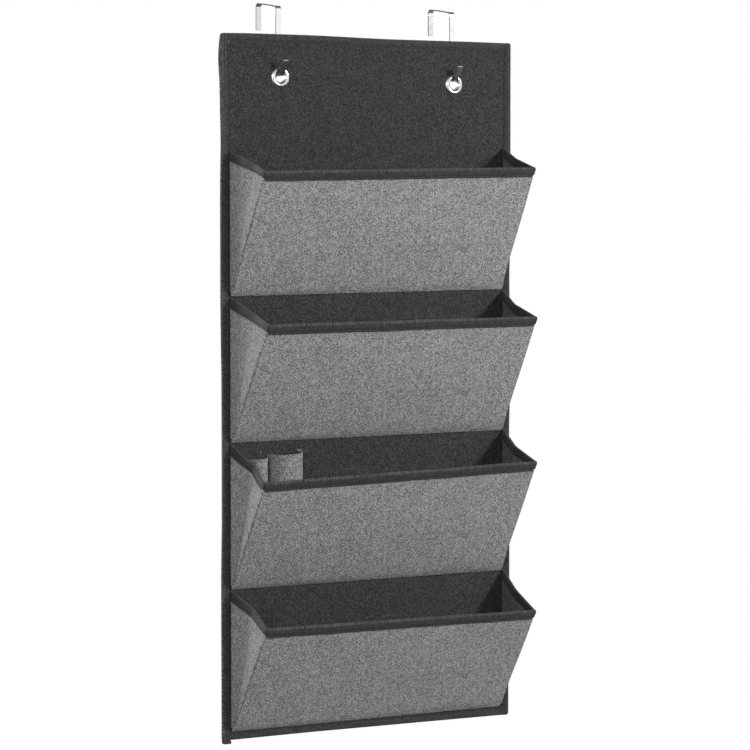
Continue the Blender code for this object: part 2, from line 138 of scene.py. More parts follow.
# Waves of an uneven cloth: length and weight.
RIPPLES = ((0.11, 1.0), (0.07, 0.8), (0.045, 0.5), (0.028, 0.3))
# Rings of a stitch: place along it, width, and height off the cloth.
STITCH_RINGS = ((-0.5, 0.35, -0.9), (-0.36, 0.95, 0.25), (0.0, 1.05, 0.5), (0.36, 0.95, 0.25),
                (0.5, 0.35, -0.9))

EDGE_MIDDLE = (PANEL_FRONT + PANEL_BACK) / 2
EDGE_HALF = (PANEL_BACK - PANEL_FRONT) / 2 + 0.0002
EDGE_TAPE = 0.0006
RIM_TAPE = 0.0005
CORNER = 0.003
IN_STITCH = 0.88
HOOK_HALF = 0.00075
SLEEVE_HEIGHT = 0.090
# Each sleeve's shift from its solid, width, bulge, rises of its top edge, roundness and seed.
SLEEVES = (("narrow", 0.0008, 0.0235, 0.0150, (0.0, 0.0013, 0.0006), 0.9, 41),
           ("wide", -0.0016, 0.039, 0.0165, (0.0, 0.0008, 0.0016), 1.1, 43))


# Camera and light.


def make_camera():
    """The photograph's own view, from the least-squares fit."""
    azimuth, pitch = math.radians(CAMERA_TURN), math.radians(CAMERA_PITCH)
    back = Vector((math.sin(azimuth) * math.cos(pitch), -math.cos(azimuth) * math.cos(pitch), math.sin(pitch)))
    right = Vector((math.cos(azimuth), math.sin(azimuth), 0))
    up = right.cross(-back)
    data = bpy.data.cameras.new("camera")
    data.lens = CAMERA_LENS
    data.sensor_width = 36
    data.clip_end = 60
    camera = bpy.data.objects.new("camera", data)
    rows = [(right[k], up[k], back[k], CAMERA_PLACE[k]) for k in range(3)]
    camera.matrix_world = Matrix(rows + [(0, 0, 0, 1)])
    bpy.context.collection.objects.link(camera)
    bpy.context.scene.camera = camera


def area_light(name, place, target, size, power):
    data = bpy.data.lights.new(name, "AREA")
    data.shape = "DISK"
    data.size = size
    data.energy = power
    light = bpy.data.objects.new(name, data)
    light.location = place
    light.rotation_euler = (Vector(target) - Vector(place)).to_track_quat("-Z", "Y").to_euler()
    bpy.context.collection.objects.link(light)


def light_path(tree, kind):
    return tree.nodes.new("ShaderNodeLightPath").outputs[kind]


def seen_in_metal(tree):
    """1 for glossy and transmission rays."""
    either = tree.nodes.new("ShaderNodeMath")
    either.operation = "MAXIMUM"
    tree.links.new(light_path(tree, "Is Glossy Ray"), either.inputs[0])
    tree.links.new(light_path(tree, "Is Transmission Ray"), either.inputs[1])
    return either.outputs[0]


def ranged(tree, value, start, stop, low, high):
    """value from start to stop as low to high, with soft ends."""
    node = tree.nodes.new("ShaderNodeMapRange")
    node.interpolation_type = "SMOOTHSTEP"
    tree.links.new(value, node.inputs["Value"])
    for name, number in (("From Min", start), ("From Max", stop), ("To Min", low), ("To Max", high)):
        node.inputs[name].default_value = number
    return node.outputs["Result"]


def blended(tree, share, first, second):
    """first where share is 0, second where it is 1."""
    node = tree.nodes.new("ShaderNodeMix")
    tree.links.new(share, node.inputs["Factor"])
    for value, socket in ((first, node.inputs["A"]), (second, node.inputs["B"])):
        if isinstance(value, bpy.types.NodeSocket):
            tree.links.new(value, socket)
        else:
            socket.default_value = value
    return node.outputs["Result"]


def make_light():
    world = bpy.data.worlds.new("studio")
    world.use_nodes = True
    tree = world.node_tree
    background = tree.nodes["Background"]
    background.inputs["Color"].default_value = (1, 1, 1, 1)
    direction = tree.nodes.new("ShaderNodeTexCoord")
    parts = tree.nodes.new("ShaderNodeSeparateXYZ")
    tree.links.new(direction.outputs["Generated"], parts.inputs[0])
    slope = tree.nodes.new("ShaderNodeMath")
    slope.operation = "ABSOLUTE"
    tree.links.new(parts.outputs[2], slope.inputs[0])
    ceiling = ranged(tree, slope.outputs[0], 0.25, 0.85, 1.0, 0.12)
    level = blended(tree, seen_in_metal(tree), AMBIENT, ceiling)
    level = blended(tree, light_path(tree, "Is Camera Ray"), level, 1.0)
    tree.links.new(level, background.inputs["Strength"])
    bpy.context.scene.world = world
    for name, lamp in LAMPS.items():
        area_light(name, *lamp)


def make_floor():
    """A plain pale floor at the foot of the door."""
    form = bmesh.new()
    bmesh.ops.create_circle(form, cap_ends=True, segments=96, radius=FLOOR_RADIUS)
    mesh = bpy.data.meshes.new("floor")
    form.to_mesh(mesh)
    form.free()
    floor = bpy.data.objects.new("floor", mesh)
    floor.location = (0, 0, FLOOR_Z)
    bpy.context.collection.objects.link(floor)
    material = bpy.data.materials.new("floor")
    material.use_nodes = True
    tree = material.node_tree
    shader = tree.nodes["Principled BSDF"]
    shader.inputs["Roughness"].default_value = 0.9
    shader.inputs["Emission Color"].default_value = (1, 1, 1, 1)
    camera = light_path(tree, "Is Camera Ray")
    tone = blended(tree, camera, FLOOR_TONE, 0.86)
    grey = tree.nodes.new("ShaderNodeCombineColor")
    for socket in grey.inputs:
        tree.links.new(tone, socket)
    tree.links.new(grey.outputs[0], shader.inputs["Base Color"])
    place = tree.nodes.new("ShaderNodeTexCoord")
    distance = tree.nodes.new("ShaderNodeVectorMath")
    distance.operation = "LENGTH"
    tree.links.new(place.outputs["Object"], distance.inputs[0])
    far = ranged(tree, distance.outputs["Value"], 2.0, 6.0, 0.0, 0.8)
    glow = blended(tree, seen_in_metal(tree), 0.0, far)
    glow = blended(tree, camera, glow, 0.72)
    tree.links.new(glow, shader.inputs["Emission Strength"])
    mesh.materials.append(material)


# Materials.


class Shade:
    """A material's node tree, with short ways to add to it."""

    def __init__(self, name):
        self.material = bpy.data.materials.new(name)
        self.material.use_nodes = True
        self.tree = self.material.node_tree
        self.shader = self.tree.nodes["Principled BSDF"]

    def link(self, value, socket):
        if isinstance(value, bpy.types.NodeSocket):
            self.tree.links.new(value, socket)
        else:
            socket.default_value = value

    def math(self, operation, *values):
        node = self.tree.nodes.new("ShaderNodeMath")
        node.operation = operation
        for value, socket in zip(values, node.inputs):
            self.link(value, socket)
        return node.outputs[0]

    def times(self, first, second):
        return self.math("MULTIPLY", first, second)

    def plus(self, first, second):
        return self.math("ADD", first, second)

    def set(self, name, value):
        self.link(value, self.shader.inputs[name])

    def uv(self):
        node = self.tree.nodes.new("ShaderNodeUVMap")
        node.uv_map = "cloth"
        parts = self.tree.nodes.new("ShaderNodeSeparateXYZ")
        self.tree.links.new(node.outputs[0], parts.inputs[0])
        return parts.outputs[0], parts.outputs[1]

    def vector(self, x, y, z=0.0):
        node = self.tree.nodes.new("ShaderNodeCombineXYZ")
        for value, socket in zip((x, y, z), node.inputs):
            self.link(value, socket)
        return node.outputs[0]

    def noise(self, vector, scale=1.0, detail=2.0, roughness=0.5):
        node = self.tree.nodes.new("ShaderNodeTexNoise")
        self.link(vector, node.inputs["Vector"])
        node.inputs["Scale"].default_value = scale
        node.inputs["Detail"].default_value = detail
        node.inputs["Roughness"].default_value = roughness
        return node.outputs["Fac"]

    def white(self, vector):
        node = self.tree.nodes.new("ShaderNodeTexWhiteNoise")
        self.link(vector, node.inputs["Vector"])
        return node.outputs["Value"]

    def span(self, value, low, high, start=0.0, stop=1.0):
        node = self.tree.nodes.new("ShaderNodeMapRange")
        self.link(value, node.inputs["Value"])
        node.inputs["From Min"].default_value = start
        node.inputs["From Max"].default_value = stop
        node.inputs["To Min"].default_value = low
        node.inputs["To Max"].default_value = high
        return node.outputs["Result"]

    def mix(self, share, first, second):
        """first where share is 0 and second where it is 1, as plain numbers."""
        rest = self.math("SUBTRACT", 1.0, share)
        return self.plus(self.times(first, rest), self.times(second, share))

    def grey(self, value, tint=(1.0, 1.0, 1.0)):
        node = self.tree.nodes.new("ShaderNodeCombineColor")
        for part, socket in zip(tint, node.inputs):
            self.link(self.times(value, part), socket)
        self.tree.links.new(node.outputs[0], self.shader.inputs["Base Color"])

    def bump(self, height, distance, strength=1.0):
        node = self.tree.nodes.new("ShaderNodeBump")
        node.inputs["Distance"].default_value = distance
        node.inputs["Strength"].default_value = strength
        self.tree.links.new(height, node.inputs["Height"])
        self.tree.links.new(node.outputs[0], self.shader.inputs["Normal"])


def thread_pattern(s, u, v, twill):
    """A weave, all from 0 to 1: where the weft shows, the yarn's tone, a number for each crossing, the height.

    In a twill the weft shows at every third crossing, along diagonals; in a plain weave at every second."""
    iu, iv = s.math("FLOOR", u), s.math("FLOOR", v)
    fu, fv = s.math("SUBTRACT", u, iu), s.math("SUBTRACT", v, iv)
    turn = s.math("FLOORED_MODULO", s.plus(iu, iv), 3.0 if twill else 2.0)
    over = s.math("LESS_THAN", turn, 0.5)
    warp_slub = s.noise(s.vector(s.times(iu, 3.7), s.times(v, 0.22)), 1.0, 1.0)
    weft_slub = s.noise(s.vector(s.times(u, 0.22), s.times(iv, 3.1), 5.0), 1.0, 1.0)
    thread = s.mix(over, s.white(s.vector(iu, 11.0)), s.white(s.vector(iv, 37.0)))
    slub = s.span(s.mix(over, warp_slub, weft_slub), 0.0, 1.0, 0.25, 0.75)
    tone = s.plus(s.times(thread, 0.05), s.times(slub, 0.15))
    tone = s.plus(tone, s.times(s.white(s.vector(iu, iv, 3.0)), 0.80))
    across_u = s.math("SINE", s.times(fu, math.pi))
    across_v = s.math("SINE", s.times(fv, math.pi))
    return over, tone, s.white(s.vector(iu, iv, 8.0)), s.times(across_u, across_v)


def cloth_material(name, level, pitch, twill, yarns, spread, uneven, cloud=0.05, sheen=0.05):
    """Woven cloth of mixed yarns.

    yarns are the tones of warp and weft, uneven how much that difference varies, and spread how much single
    crossings do."""
    s = Shade(name)
    u, v = s.uv()
    over, tone, each, height = thread_pattern(s, s.math("DIVIDE", u, pitch), s.math("DIVIDE", v, pitch), twill)
    flat = s.vector(u, v)
    mottle = s.noise(flat, 26.0, 3.0)
    fine = s.noise(flat, 1400.0, 2.0)
    yarn = s.times(s.span(over, yarns[0] - 1, yarns[1] - 1), s.span(each, 1 - uneven, 1 + uneven))
    value = s.times(s.span(tone, 1 - spread, 1 + spread), s.plus(1.0, yarn))
    # Painted shade: the colour is darkened where the yarns dip between crossings.
    value = s.times(value, s.span(height, 0.72, 1.10))
    value = s.times(value, s.span(mottle, 1 - cloud, 1 + cloud, 0.25, 0.75))
    value = s.times(value, s.span(fine, 0.88, 1.12))
    s.grey(s.times(s.math("MAXIMUM", value, 0.05), level))
    s.set("Roughness", s.span(fine, 0.84, 0.97))
    s.bump(s.plus(height, s.times(fine, 0.25)), pitch * 0.12)
    s.set("Specular IOR Level", 0.2)
    s.set("Sheen Weight", sheen)
    s.set("Sheen Roughness", 0.6)
    return s.material


def tape_material(name, level, rows):
    """Twilled binding tape, lightened along its folded edge as a painted highlight and darkened along its
    stitch rows as painted shade.
    """
    s = Shade(name)
    u, v = s.uv()
    across, along = s.math("DIVIDE", u, 0.00125), s.math("DIVIDE", v, 0.00120)
    over, tone, each, height = thread_pattern(s, across, along, True)
    cloud = s.noise(s.vector(u, v), 55.0, 3.0)
    fine = s.noise(s.vector(u, v), 1500.0, 2.0)
    # Painted highlight: the colour is made paler near the fold, where the edge catches light.
    fold = ranged(s.tree, v, 0.0002, 0.0015, 1.0, 0.0)
    painted_fold_highlight = s.times(fold, s.span(s.noise(s.vector(u, 0.0), 300.0, 2.0), 0.15, 0.9, 0.3, 0.7))
    yarn = s.times(s.span(over, -0.22, 0.44), s.span(each, 0.0, 2.0))
    value = s.times(s.span(tone, 0.40, 1.60), s.plus(1.0, yarn))
    # Painted shade: the colour is darkened where the yarns dip between crossings.
    value = s.times(value, s.span(height, 0.75, 1.10))
    value = s.times(value, s.span(cloud, 0.90, 1.12, 0.25, 0.75))
    value = s.times(value, s.plus(1.0, painted_fold_highlight))
    # Painted shade: the colour is darkened along each stitch row, where the stitched groove lies in shade.
    for row in rows:
        away = s.math("ABSOLUTE", s.math("SUBTRACT", v, row))
        value = s.times(value, ranged(s.tree, away, 0.0003, 0.0010, 0.62, 1.0))
    s.grey(s.times(value, level))
    s.set("Roughness", s.span(fine, 0.70, 0.92))
    s.bump(s.plus(height, s.times(fine, 0.3)), 0.00014)
    s.set("Specular IOR Level", 0.25)
    s.set("Sheen Weight", 0.08)
    s.set("Sheen Roughness", 0.5)
    return s.material


def thread_material(name, level):
    """Twisted sewing thread."""
    s = Shade(name)
    u, v = s.uv()
    twist = s.math("SINE", s.times(s.plus(u, s.times(v, 0.8)), 2 * math.pi / 0.0006))
    s.grey(s.times(s.span(twist, 0.75, 1.15, -1.0, 1.0), level))
    s.set("Roughness", 0.6)
    s.bump(twist, 0.00006)
    return s.material


def sheared_material(name, level):
    """The dull grain of a sheared metal edge."""
    s = Shade(name)
    place = s.tree.nodes.new("ShaderNodeTexCoord").outputs["Object"]
    grain = s.noise(place, 1600.0, 3.0, 0.6)
    s.grey(s.times(s.span(grain, 0.75, 1.25, 0.25, 0.75), level))
    s.set("Roughness", 0.7)
    s.set("Specular IOR Level", 0.1)
    s.bump(grain, 0.00003)
    return s.material


def metal_material(name, level, low, high, scale, stretch, painted_grooves=False):
    """Plated metal: a polish that varies a little, and hairlines drawn out along the object's Z.

    When the last argument is set, the map's second value is the way round a turned section, and thin rings of
    the colour are darkened there as painted shade."""
    s = Shade(name)
    place = s.tree.nodes.new("ShaderNodeTexCoord").outputs["Object"]
    parts = s.tree.nodes.new("ShaderNodeSeparateXYZ")
    s.tree.links.new(place, parts.inputs[0])
    drawn = s.vector(parts.outputs[0], parts.outputs[1], s.times(parts.outputs[2], stretch))
    hair = s.noise(drawn, scale, 3.0, 0.6)
    cloud = s.noise(place, 160.0, 2.0)
    value = s.span(cloud, 0.90, 1.04)
    if painted_grooves:
        _, radius = s.uv()
        # Painted shade: the colour is darkened in thin rings round the eyelet.
        for middle, width, depth in PAINTED_GROOVE_SHADES:
            away = s.math("ABSOLUTE", s.math("SUBTRACT", radius, middle))
            value = s.times(value, ranged(s.tree, away, 0.0, width, 1 - depth, 1.0))
    s.grey(s.times(value, level), (1.0, 1.0, 1.01))
    polish = s.plus(s.times(hair, 0.6), s.times(cloud, 0.4))
    s.set("Roughness", s.span(polish, low, high, 0.3, 0.7))
    s.set("Metallic", 1.0)
    s.bump(hair, 0.00001, 0.6)
    return s.material


# Mesh helpers.


def put(name, vertices, faces, uvs, materials, slots=None, angle=38.0):
    """A smooth-shaded object from plain lists, with its cloth map in metres."""
    mesh = bpy.data.meshes.new(name)
    mesh.from_pydata([tuple(map(float, v)) for v in vertices], [], [tuple(map(int, f)) for f in faces])
    layer = mesh.uv_layers.new(name="cloth")
    corner = np.empty(len(mesh.loops), np.int32)
    mesh.loops.foreach_get("vertex_index", corner)
    layer.data.foreach_set("uv", np.asarray(uvs, np.float32)[corner].ravel())
    for material in materials:
        mesh.materials.append(material)
    if slots is not None:
        mesh.polygons.foreach_set("material_index", np.asarray(slots, np.int32))
    mesh.shade_smooth()
    mesh.set_sharp_from_angle(angle=math.radians(angle))
    item = bpy.data.objects.new(name, mesh)
    bpy.context.collection.objects.link(item)
    return item


def lengths(points, axis):
    """Distances along one axis of a grid of points, averaged over the other, from 0."""
    steps = np.linalg.norm(np.diff(points, axis=axis), axis=2).mean(axis=1 - axis)
    return np.concatenate([[0.0], np.cumsum(steps)])


def grid_faces(rows, cols, start=0, turned=False):
    faces = []
    for r in range(rows - 1):
        for c in range(cols - 1):
            a = start + r * cols + c
            face = (a, a + 1, a + cols + 1, a + cols)
            faces.append(face[::-1] if turned else face)
    return faces


def normals_of(points):
    across = np.gradient(points, axis=1)
    along = np.gradient(points, axis=0)
    normal = np.cross(across, along)
    return normal / np.maximum(np.linalg.norm(normal, axis=2, keepdims=True), 1e-12)


def border_loop(rows, cols):
    top = list(range(cols))
    right = [r * cols + cols - 1 for r in range(1, rows)]
    bottom = [(rows - 1) * cols + c for c in range(cols - 2, -1, -1)]
    left = [r * cols for r in range(rows - 2, 0, -1)]
    return top + right + bottom + left


def cloth(name, points, thickness, materials, uv=None, facing=None):
    """A closed sheet: points is its outer face, rows by columns. A second material is for its inner face.

    Without facing, the outer face's normal is across x along; with it, the grid is turned to face that way."""
    points = np.asarray(points, float)
    rows, cols = points.shape[:2]
    if facing is not None and float((normals_of(points) @ np.asarray(facing, float)).mean()) < 0:
        points = points[:, ::-1]
        uv = None if uv is None else uv[:, ::-1]
    inner = points - normals_of(points) * thickness
    if uv is None:
        u, v = np.meshgrid(lengths(points, 1), lengths(points, 0))
        uv = np.stack([u, v], axis=2)
    count = rows * cols
    vertices = np.concatenate([points.reshape(-1, 3), inner.reshape(-1, 3)])
    uvs = np.concatenate([uv.reshape(-1, 2), uv.reshape(-1, 2)])
    faces = grid_faces(rows, cols) + grid_faces(rows, cols, count, True)
    slots = [0] * (len(faces) // 2) + [min(1, len(materials) - 1)] * (len(faces) // 2)
    loop = border_loop(rows, cols)
    for a, b in zip(loop, loop[1:] + loop[:1]):
        faces.append((b, a, a + count, b + count))
        slots.append(0)
    return put(name, vertices, faces, uvs, materials, slots)


def tube_faces(rings, sides, base=0):
    """The faces of a tube whose rings of vertices follow one another from base, with both its ends closed."""
    faces = []
    for a in range(base, base + (rings - 1) * sides, sides):
        for k in range(sides):
            m = (k + 1) % sides
            faces.append((a + k, a + m, a + sides + m, a + sides + k))
    faces.append(tuple(base + k for k in range(sides))[::-1])
    faces.append(tuple(base + (rings - 1) * sides + k for k in range(sides)))
    return faces


def outward(item):
    """Turns the faces of closed shapes outward."""
    form = bmesh.new()
    form.from_mesh(item.data)
    bmesh.ops.recalc_face_normals(form, faces=form.faces)
    form.to_mesh(item.data)
    form.free()
    return item


def swept(name, sections, materials, round_it=None, closed=False, angle=38.0):
    """A tube through sections of equal length. Its map runs along the path and round the section.

    closed joins the last section to the first, where a plain tube has ends."""
    sections = np.asarray(sections, float)
    count, size = sections.shape[:2]
    if round_it is None:
        ring = np.linalg.norm(np.roll(sections, -1, axis=1) - sections, axis=2).mean(axis=0)
        round_it = np.concatenate([[0.0], np.cumsum(ring)])[:-1]
    uvs = np.array([(a, r) for a in lengths(sections, 0) for r in round_it])
    faces = tube_faces(count, size)
    if closed:
        a = (count - 1) * size
        faces[-2:] = [(a + k, a + (k + 1) % size, (k + 1) % size, k) for k in range(size)]
    return outward(put(name, sections.reshape(-1, 3), faces, uvs, materials, angle=angle))


def joined(target, others):
    """One mesh from several: others' parts go into target as loose parts, with their materials."""
    form = bmesh.new()
    form.from_mesh(target.data)
    for other in others:
        base = len(target.data.materials)
        for material in other.data.materials:
            target.data.materials.append(material)
        shift = bmesh.new()
        shift.from_mesh(other.data)
        for face in shift.faces:
            face.material_index += base
        scratch = bpy.data.meshes.new("scratch")
        shift.to_mesh(scratch)
        shift.free()
        form.from_mesh(scratch)
        bpy.data.meshes.remove(scratch)
        mesh = other.data
        bpy.data.objects.remove(other)
        bpy.data.meshes.remove(mesh)
    form.to_mesh(target.data)
    form.free()
    return target


def fitted(item, body, node):
    """Puts a piece on its body and hides the solid it stands for."""
    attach(item, body)
    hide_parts(node)


def pressed(item):
    """Gives a piece its own copy of its mesh."""
    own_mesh(item)


def hump(value, middle, width):
    """A smooth rise and fall of one unit round a middle."""
    return np.exp(-((value - middle) / width) ** 2)


def ripple(x, z, seed):
    """A smooth, fixed unevenness of about one unit."""
    rng = np.random.default_rng(seed)
    total = np.zeros(np.broadcast(x, z).shape)
    for length, weight in RIPPLES:
        for _ in range(2):
            angle = rng.uniform(0, math.pi)
            phase = rng.uniform(0, 2 * math.pi)
            k = 2 * math.pi / length
            total = total + weight * np.sin(k * (x * math.cos(angle) + z * math.sin(angle)) + phase)
    return total / 2.2


def stitch_row(name, path, away, material, seed, pitch=0.0024, length=0.0017, radius=0.00038, sink=0.35):
    """A row of machine stitches along a path. away is the direction off the cloth."""
    rng = random.Random(seed)
    path = [Vector(p) for p in path]
    away = Vector(away).normalized()
    spans = [(b - a).length for a, b in zip(path, path[1:])]
    total = sum(spans)

    def at(distance):
        for k, span in enumerate(spans):
            if distance <= span or k == len(spans) - 1:
                t = distance / span if span else 0
                return path[k].lerp(path[k + 1], t)
            distance -= span

    vertices, faces, uvs = [], [], []
    here = pitch / 2
    while here + length / 2 < total:
        middle = here + rng.uniform(-0.06, 0.06) * pitch
        first = at(max(0.0, middle - length / 2))
        last = at(min(total, middle + length / 2))
        centre = at(middle)
        along = (last - first).normalized()
        side = along.cross(away).normalized()
        tilt = rng.uniform(-0.07, 0.07) * length
        base = len(vertices)
        for share, swell, rise in STITCH_RINGS:
            spot = centre + along * (share * length) + side * (share * tilt * 2)
            for k in range(5):
                angle = 2 * math.pi * k / 5
                height = math.sin(angle) * swell + rise - sink
                across = side * math.cos(angle) * radius * swell * 1.15
                vertices.append(spot + (across + away * height * radius))
                uvs.append((share * length + here, k * radius))
        faces += tube_faces(len(STITCH_RINGS), 5, base)
        here += pitch
    return outward(put(name, vertices, faces, uvs, [material], angle=80.0))


def punch(item, cutters):
    """Cuts round holes through a sheet and keeps the result as its mesh."""
    for cutter in cutters:
        cut = item.modifiers.new("hole", "BOOLEAN")
        cut.operation = "DIFFERENCE"
        cut.solver = "EXACT"
        cut.object = cutter
    bpy.context.view_layer.update()
    graph = bpy.context.evaluated_depsgraph_get()
    mesh = bpy.data.meshes.new_from_object(item.evaluated_get(graph))
    item.modifiers.clear()
    item.data = mesh


def hole_cutters(radius):
    cutters = []
    for x, z in EYELETS.values():
        form = bmesh.new()
        bmesh.ops.create_cone(form, cap_ends=True, segments=48, radius1=radius, radius2=radius, depth=0.05)
        mesh = bpy.data.meshes.new("cutter")
        form.to_mesh(mesh)
        form.free()
        cutter = bpy.data.objects.new("cutter", mesh)
        cutter.rotation_euler = (math.pi / 2, 0, 0)
        cutter.location = (x, 0, z)
        cutter.hide_render = True
        bpy.context.collection.objects.link(cutter)
        cutters.append(cutter)
    return cutters


# The panel.


def right_draw(z):
    """How far the right edge is drawn in beside the second and third pockets and at the bottom."""
    down = PANEL_TOP - z
    beside = hump(down, 0.265, 0.03) + 0.9 * hump(down, 0.440, 0.03)
    return 0.0009 * beside + 0.0011 * np.clip((down - 0.69) / 0.03, 0, 1)


def edge_bulge(z):
    """How far the left edge stands out: below the top corner, and drawn in at the first and third pockets."""
    down = PANEL_TOP - z
    reach = np.where(down < 0.464, 0.17, 0.12)
    drawn = 0.0022 * np.clip(1 - np.abs(down - 0.464) / reach, 0, 1) + 0.0008 * hump(down, 0.115, 0.03)
    return 0.0018 * hump(down, 0.025, 0.020) - 0.0008 * hump(down, 0.0, 0.006) - drawn


def top_rise(x):
    """How far the top edge stands above its line: it rises over the left grommet."""
    share = np.clip((0.04 - x) / 0.13, 0, 1)
    ends = 0.0004 * np.clip((PANEL_HALF - x) / 0.05, 0, 1) - 0.0006 * np.clip(1 - (x + PANEL_HALF) / 0.03, 0, 1)
    return 0.0018 * share ** 2 * (3 - 2 * share) + ends


def bottom_drop(x):
    """How far the bottom edge hangs below its line, towards the right."""
    return 0.0020 * np.clip((x + 0.07) / 0.25, 0, 1)


def outlined(x, z):
    """z of the panel's cloth, carried along by the uneven top and bottom edges."""
    share = (z - PANEL_BOTTOM) / (PANEL_TOP - PANEL_BOTTOM)
    return z + top_rise(x) * share ** 40 - bottom_drop(x) * (1 - share) ** 40


def panel_wave(x, z):
    """The panel cloth's slight unevenness, calm at its edges."""
    edge = np.minimum(np.clip((PANEL_HALF - np.abs(x)) / 0.03, 0, 1), np.clip((PANEL_TOP - z) / 0.04, 0, 1))
    pucker = np.zeros(np.broadcast(x, z).shape)
    for gx, gz in EYELETS.values():
        r = np.hypot(x - gx, z - gz)
        angle = np.arctan2(z - gz, x - gx)
        pucker = pucker + 0.00028 * hump(r, 0.013, 0.010) * np.sin(5 * angle + gx * 40)
    return 0.00032 * ripple(x, z, 5) * edge + pucker


def panel_grid(inset):
    low, high = PANEL_BOTTOM + inset, PANEL_TOP - inset
    xs = np.linspace(-PANEL_HALF + inset, PANEL_HALF - inset, 93)
    zs = np.linspace(low, high, 181)
    return np.meshgrid(xs, zs)


def back_stitches(thread):
    """The pockets' seams as they show on the panel's back."""
    y = PANEL_BACK + 0.0003
    rows = []
    for number in range(1, 5):
        seam, back, _, _ = pocket_sizes(number)
        reach = POCKET_HALF - 0.0015
        level = seam + 0.0015
        rows.append([(-reach, y, level), (reach, y, level)])
        rows += [[(side * reach, y, seam + 0.004), (side * reach, y, seam + back)] for side in (-1, 1)]
    return [stitch_row(f"thread_back_{k}", row, (0, 1, 0), thread, 200 + k) for k, row in enumerate(rows)]


def build_panel(dark, thread):
    x, z = panel_grid(0.0008)
    pull = np.clip(np.abs(x) / PANEL_HALF, 0, 1) ** 8
    x = x - np.where(x < 0, edge_bulge(z), right_draw(z)) * pull
    z = outlined(x, z)
    covered = np.clip((PANEL_TOP - TOP_DROPS[0] - z) / 0.02, 0, 1)
    y = PANEL_FRONT - np.clip(panel_wave(x, z), -0.0005, 0.0012 - 0.0010 * covered)
    flat = np.stack([x, z], 2)
    front = cloth("panel_cloth", np.stack([x, y, z], 2), 0.0008, [dark], flat)
    y_back = np.full(x.shape, PANEL_BACK) + np.clip(0.00018 * ripple(x, z, 9), -0.0004, 0.0004)
    rear = cloth("panel_backing", np.stack([x, y_back, z], 2)[:, ::-1], 0.0005, [dark], flat[:, ::-1])
    cutters = hole_cutters(0.0061)
    punch(front, cutters)
    punch(rear, cutters)
    for cutter in cutters:
        bpy.data.objects.remove(cutter)
    joined(rear, back_stitches(thread))
    for item, node in ((front, "panel_cover_front"), (rear, "panel_cover_back")):
        fitted(item, "panel", node)


def tape_section(width, half, tape, stitches):
    """The closed section of a folded tape as (distance in from the fold, height): front side positive."""
    outside = [(0.0, 0.0), (0.00010, 0.45), (0.0004, 0.78), (0.0010, 0.96), (0.0022, 1.03), (0.0042, 1.04)]
    for s in stitches:
        outside += [(s - 0.0010, 1.02), (s - 0.0003, 0.86), (s + 0.0003, 0.86), (s + 0.0009, 1.00)]
    outside += [(width - 0.0003, 1.02), (width, 0.96)]
    out = [(d, h * (half + tape)) for d, h in sorted(outside)]
    inside = [(width - 0.0001, half), (width * 0.5, half), (tape + 0.0002, half * 0.98), (tape, 0.0)]
    return out + inside + [(d, -h) for d, h in inside[-2::-1] + out[:0:-1]]


def side_binding(side, tape_look, thread_look, seed):
    """An upright edge tape with its stitching. The left one runs on below the panel as a pinched tail."""
    tail = TAIL if side < 0 else 0.0
    top = PANEL_TOP + float(top_rise(side * PANEL_HALF))
    bottom = PANEL_BOTTOM - float(bottom_drop(side * PANEL_HALF))
    stations = []
    for k in range(7):
        angle = math.radians(15 * k)
        z = bottom - tail + CORNER * (1 - math.cos(angle))
        stations.append((z, CORNER * (1 - math.sin(angle)), 0.85 if tail else 0.0))
    if tail:
        stations.append((bottom - 0.0005, 0.0, 0.25))
    start = stations[-1][0] + CORNER
    stations += [(float(z), 0.0, 0.0) for z in np.linspace(start, top - 2 * CORNER, 170)]
    for k in range(7):
        angle = math.radians(15 * (6 - k))
        stations.append((top - CORNER * (1 - math.cos(angle)), CORNER * (1 - math.sin(angle)), 0.0))
    rows = LEFT_ROWS if side < 0 else RIGHT_ROWS
    sections, paths = [], [[] for _ in rows]
    for z, inset, pinch in stations:
        half = EDGE_HALF * (1 - pinch)
        loop = tape_section(BINDING, half, EDGE_TAPE, rows)
        swell = 1.0 + 0.05 * float(ripple(0.0, z, seed))
        bulge = float(edge_bulge(z) if side < 0 else -right_draw(z))
        lean = 0.00022 * float(ripple(0.3, z, seed + 3))

        def drawn(share):
            return (inset - bulge) * share ** 1.2 + lean * (1 - share)

        sections.append([(side * (PANEL_HALF - d * (1 + 0.28 * pinch) - drawn(max(0.0, 1 - d / BINDING))),
                          EDGE_MIDDLE - h * swell, z) for d, h in loop])
        for row, path in zip(rows, paths):
            x = side * (PANEL_HALF - row - drawn(1 - row / BINDING))
            path.append((x, EDGE_MIDDLE - (half + EDGE_TAPE) * IN_STITCH * swell, z))
    name = "left" if side < 0 else "right"
    item = swept(f"edge_tape_{name}", sections, [tape_look], [d for d, h in loop])
    threads = []
    for k, path in enumerate(paths):
        threads.append(stitch_row(f"thread_{name}_{k}", path[4:-4], (0, -1, 0), thread_look, seed + k))
        rear = [(x, 2 * EDGE_MIDDLE - y, z) for x, y, z in path]
        threads.append(stitch_row(f"thread_rear_{name}_{k}", rear[4:-4], (0, 1, 0), thread_look, seed + 9 + k))
    joined(item, threads)
    fitted(item, "panel", f"binding_{name}")


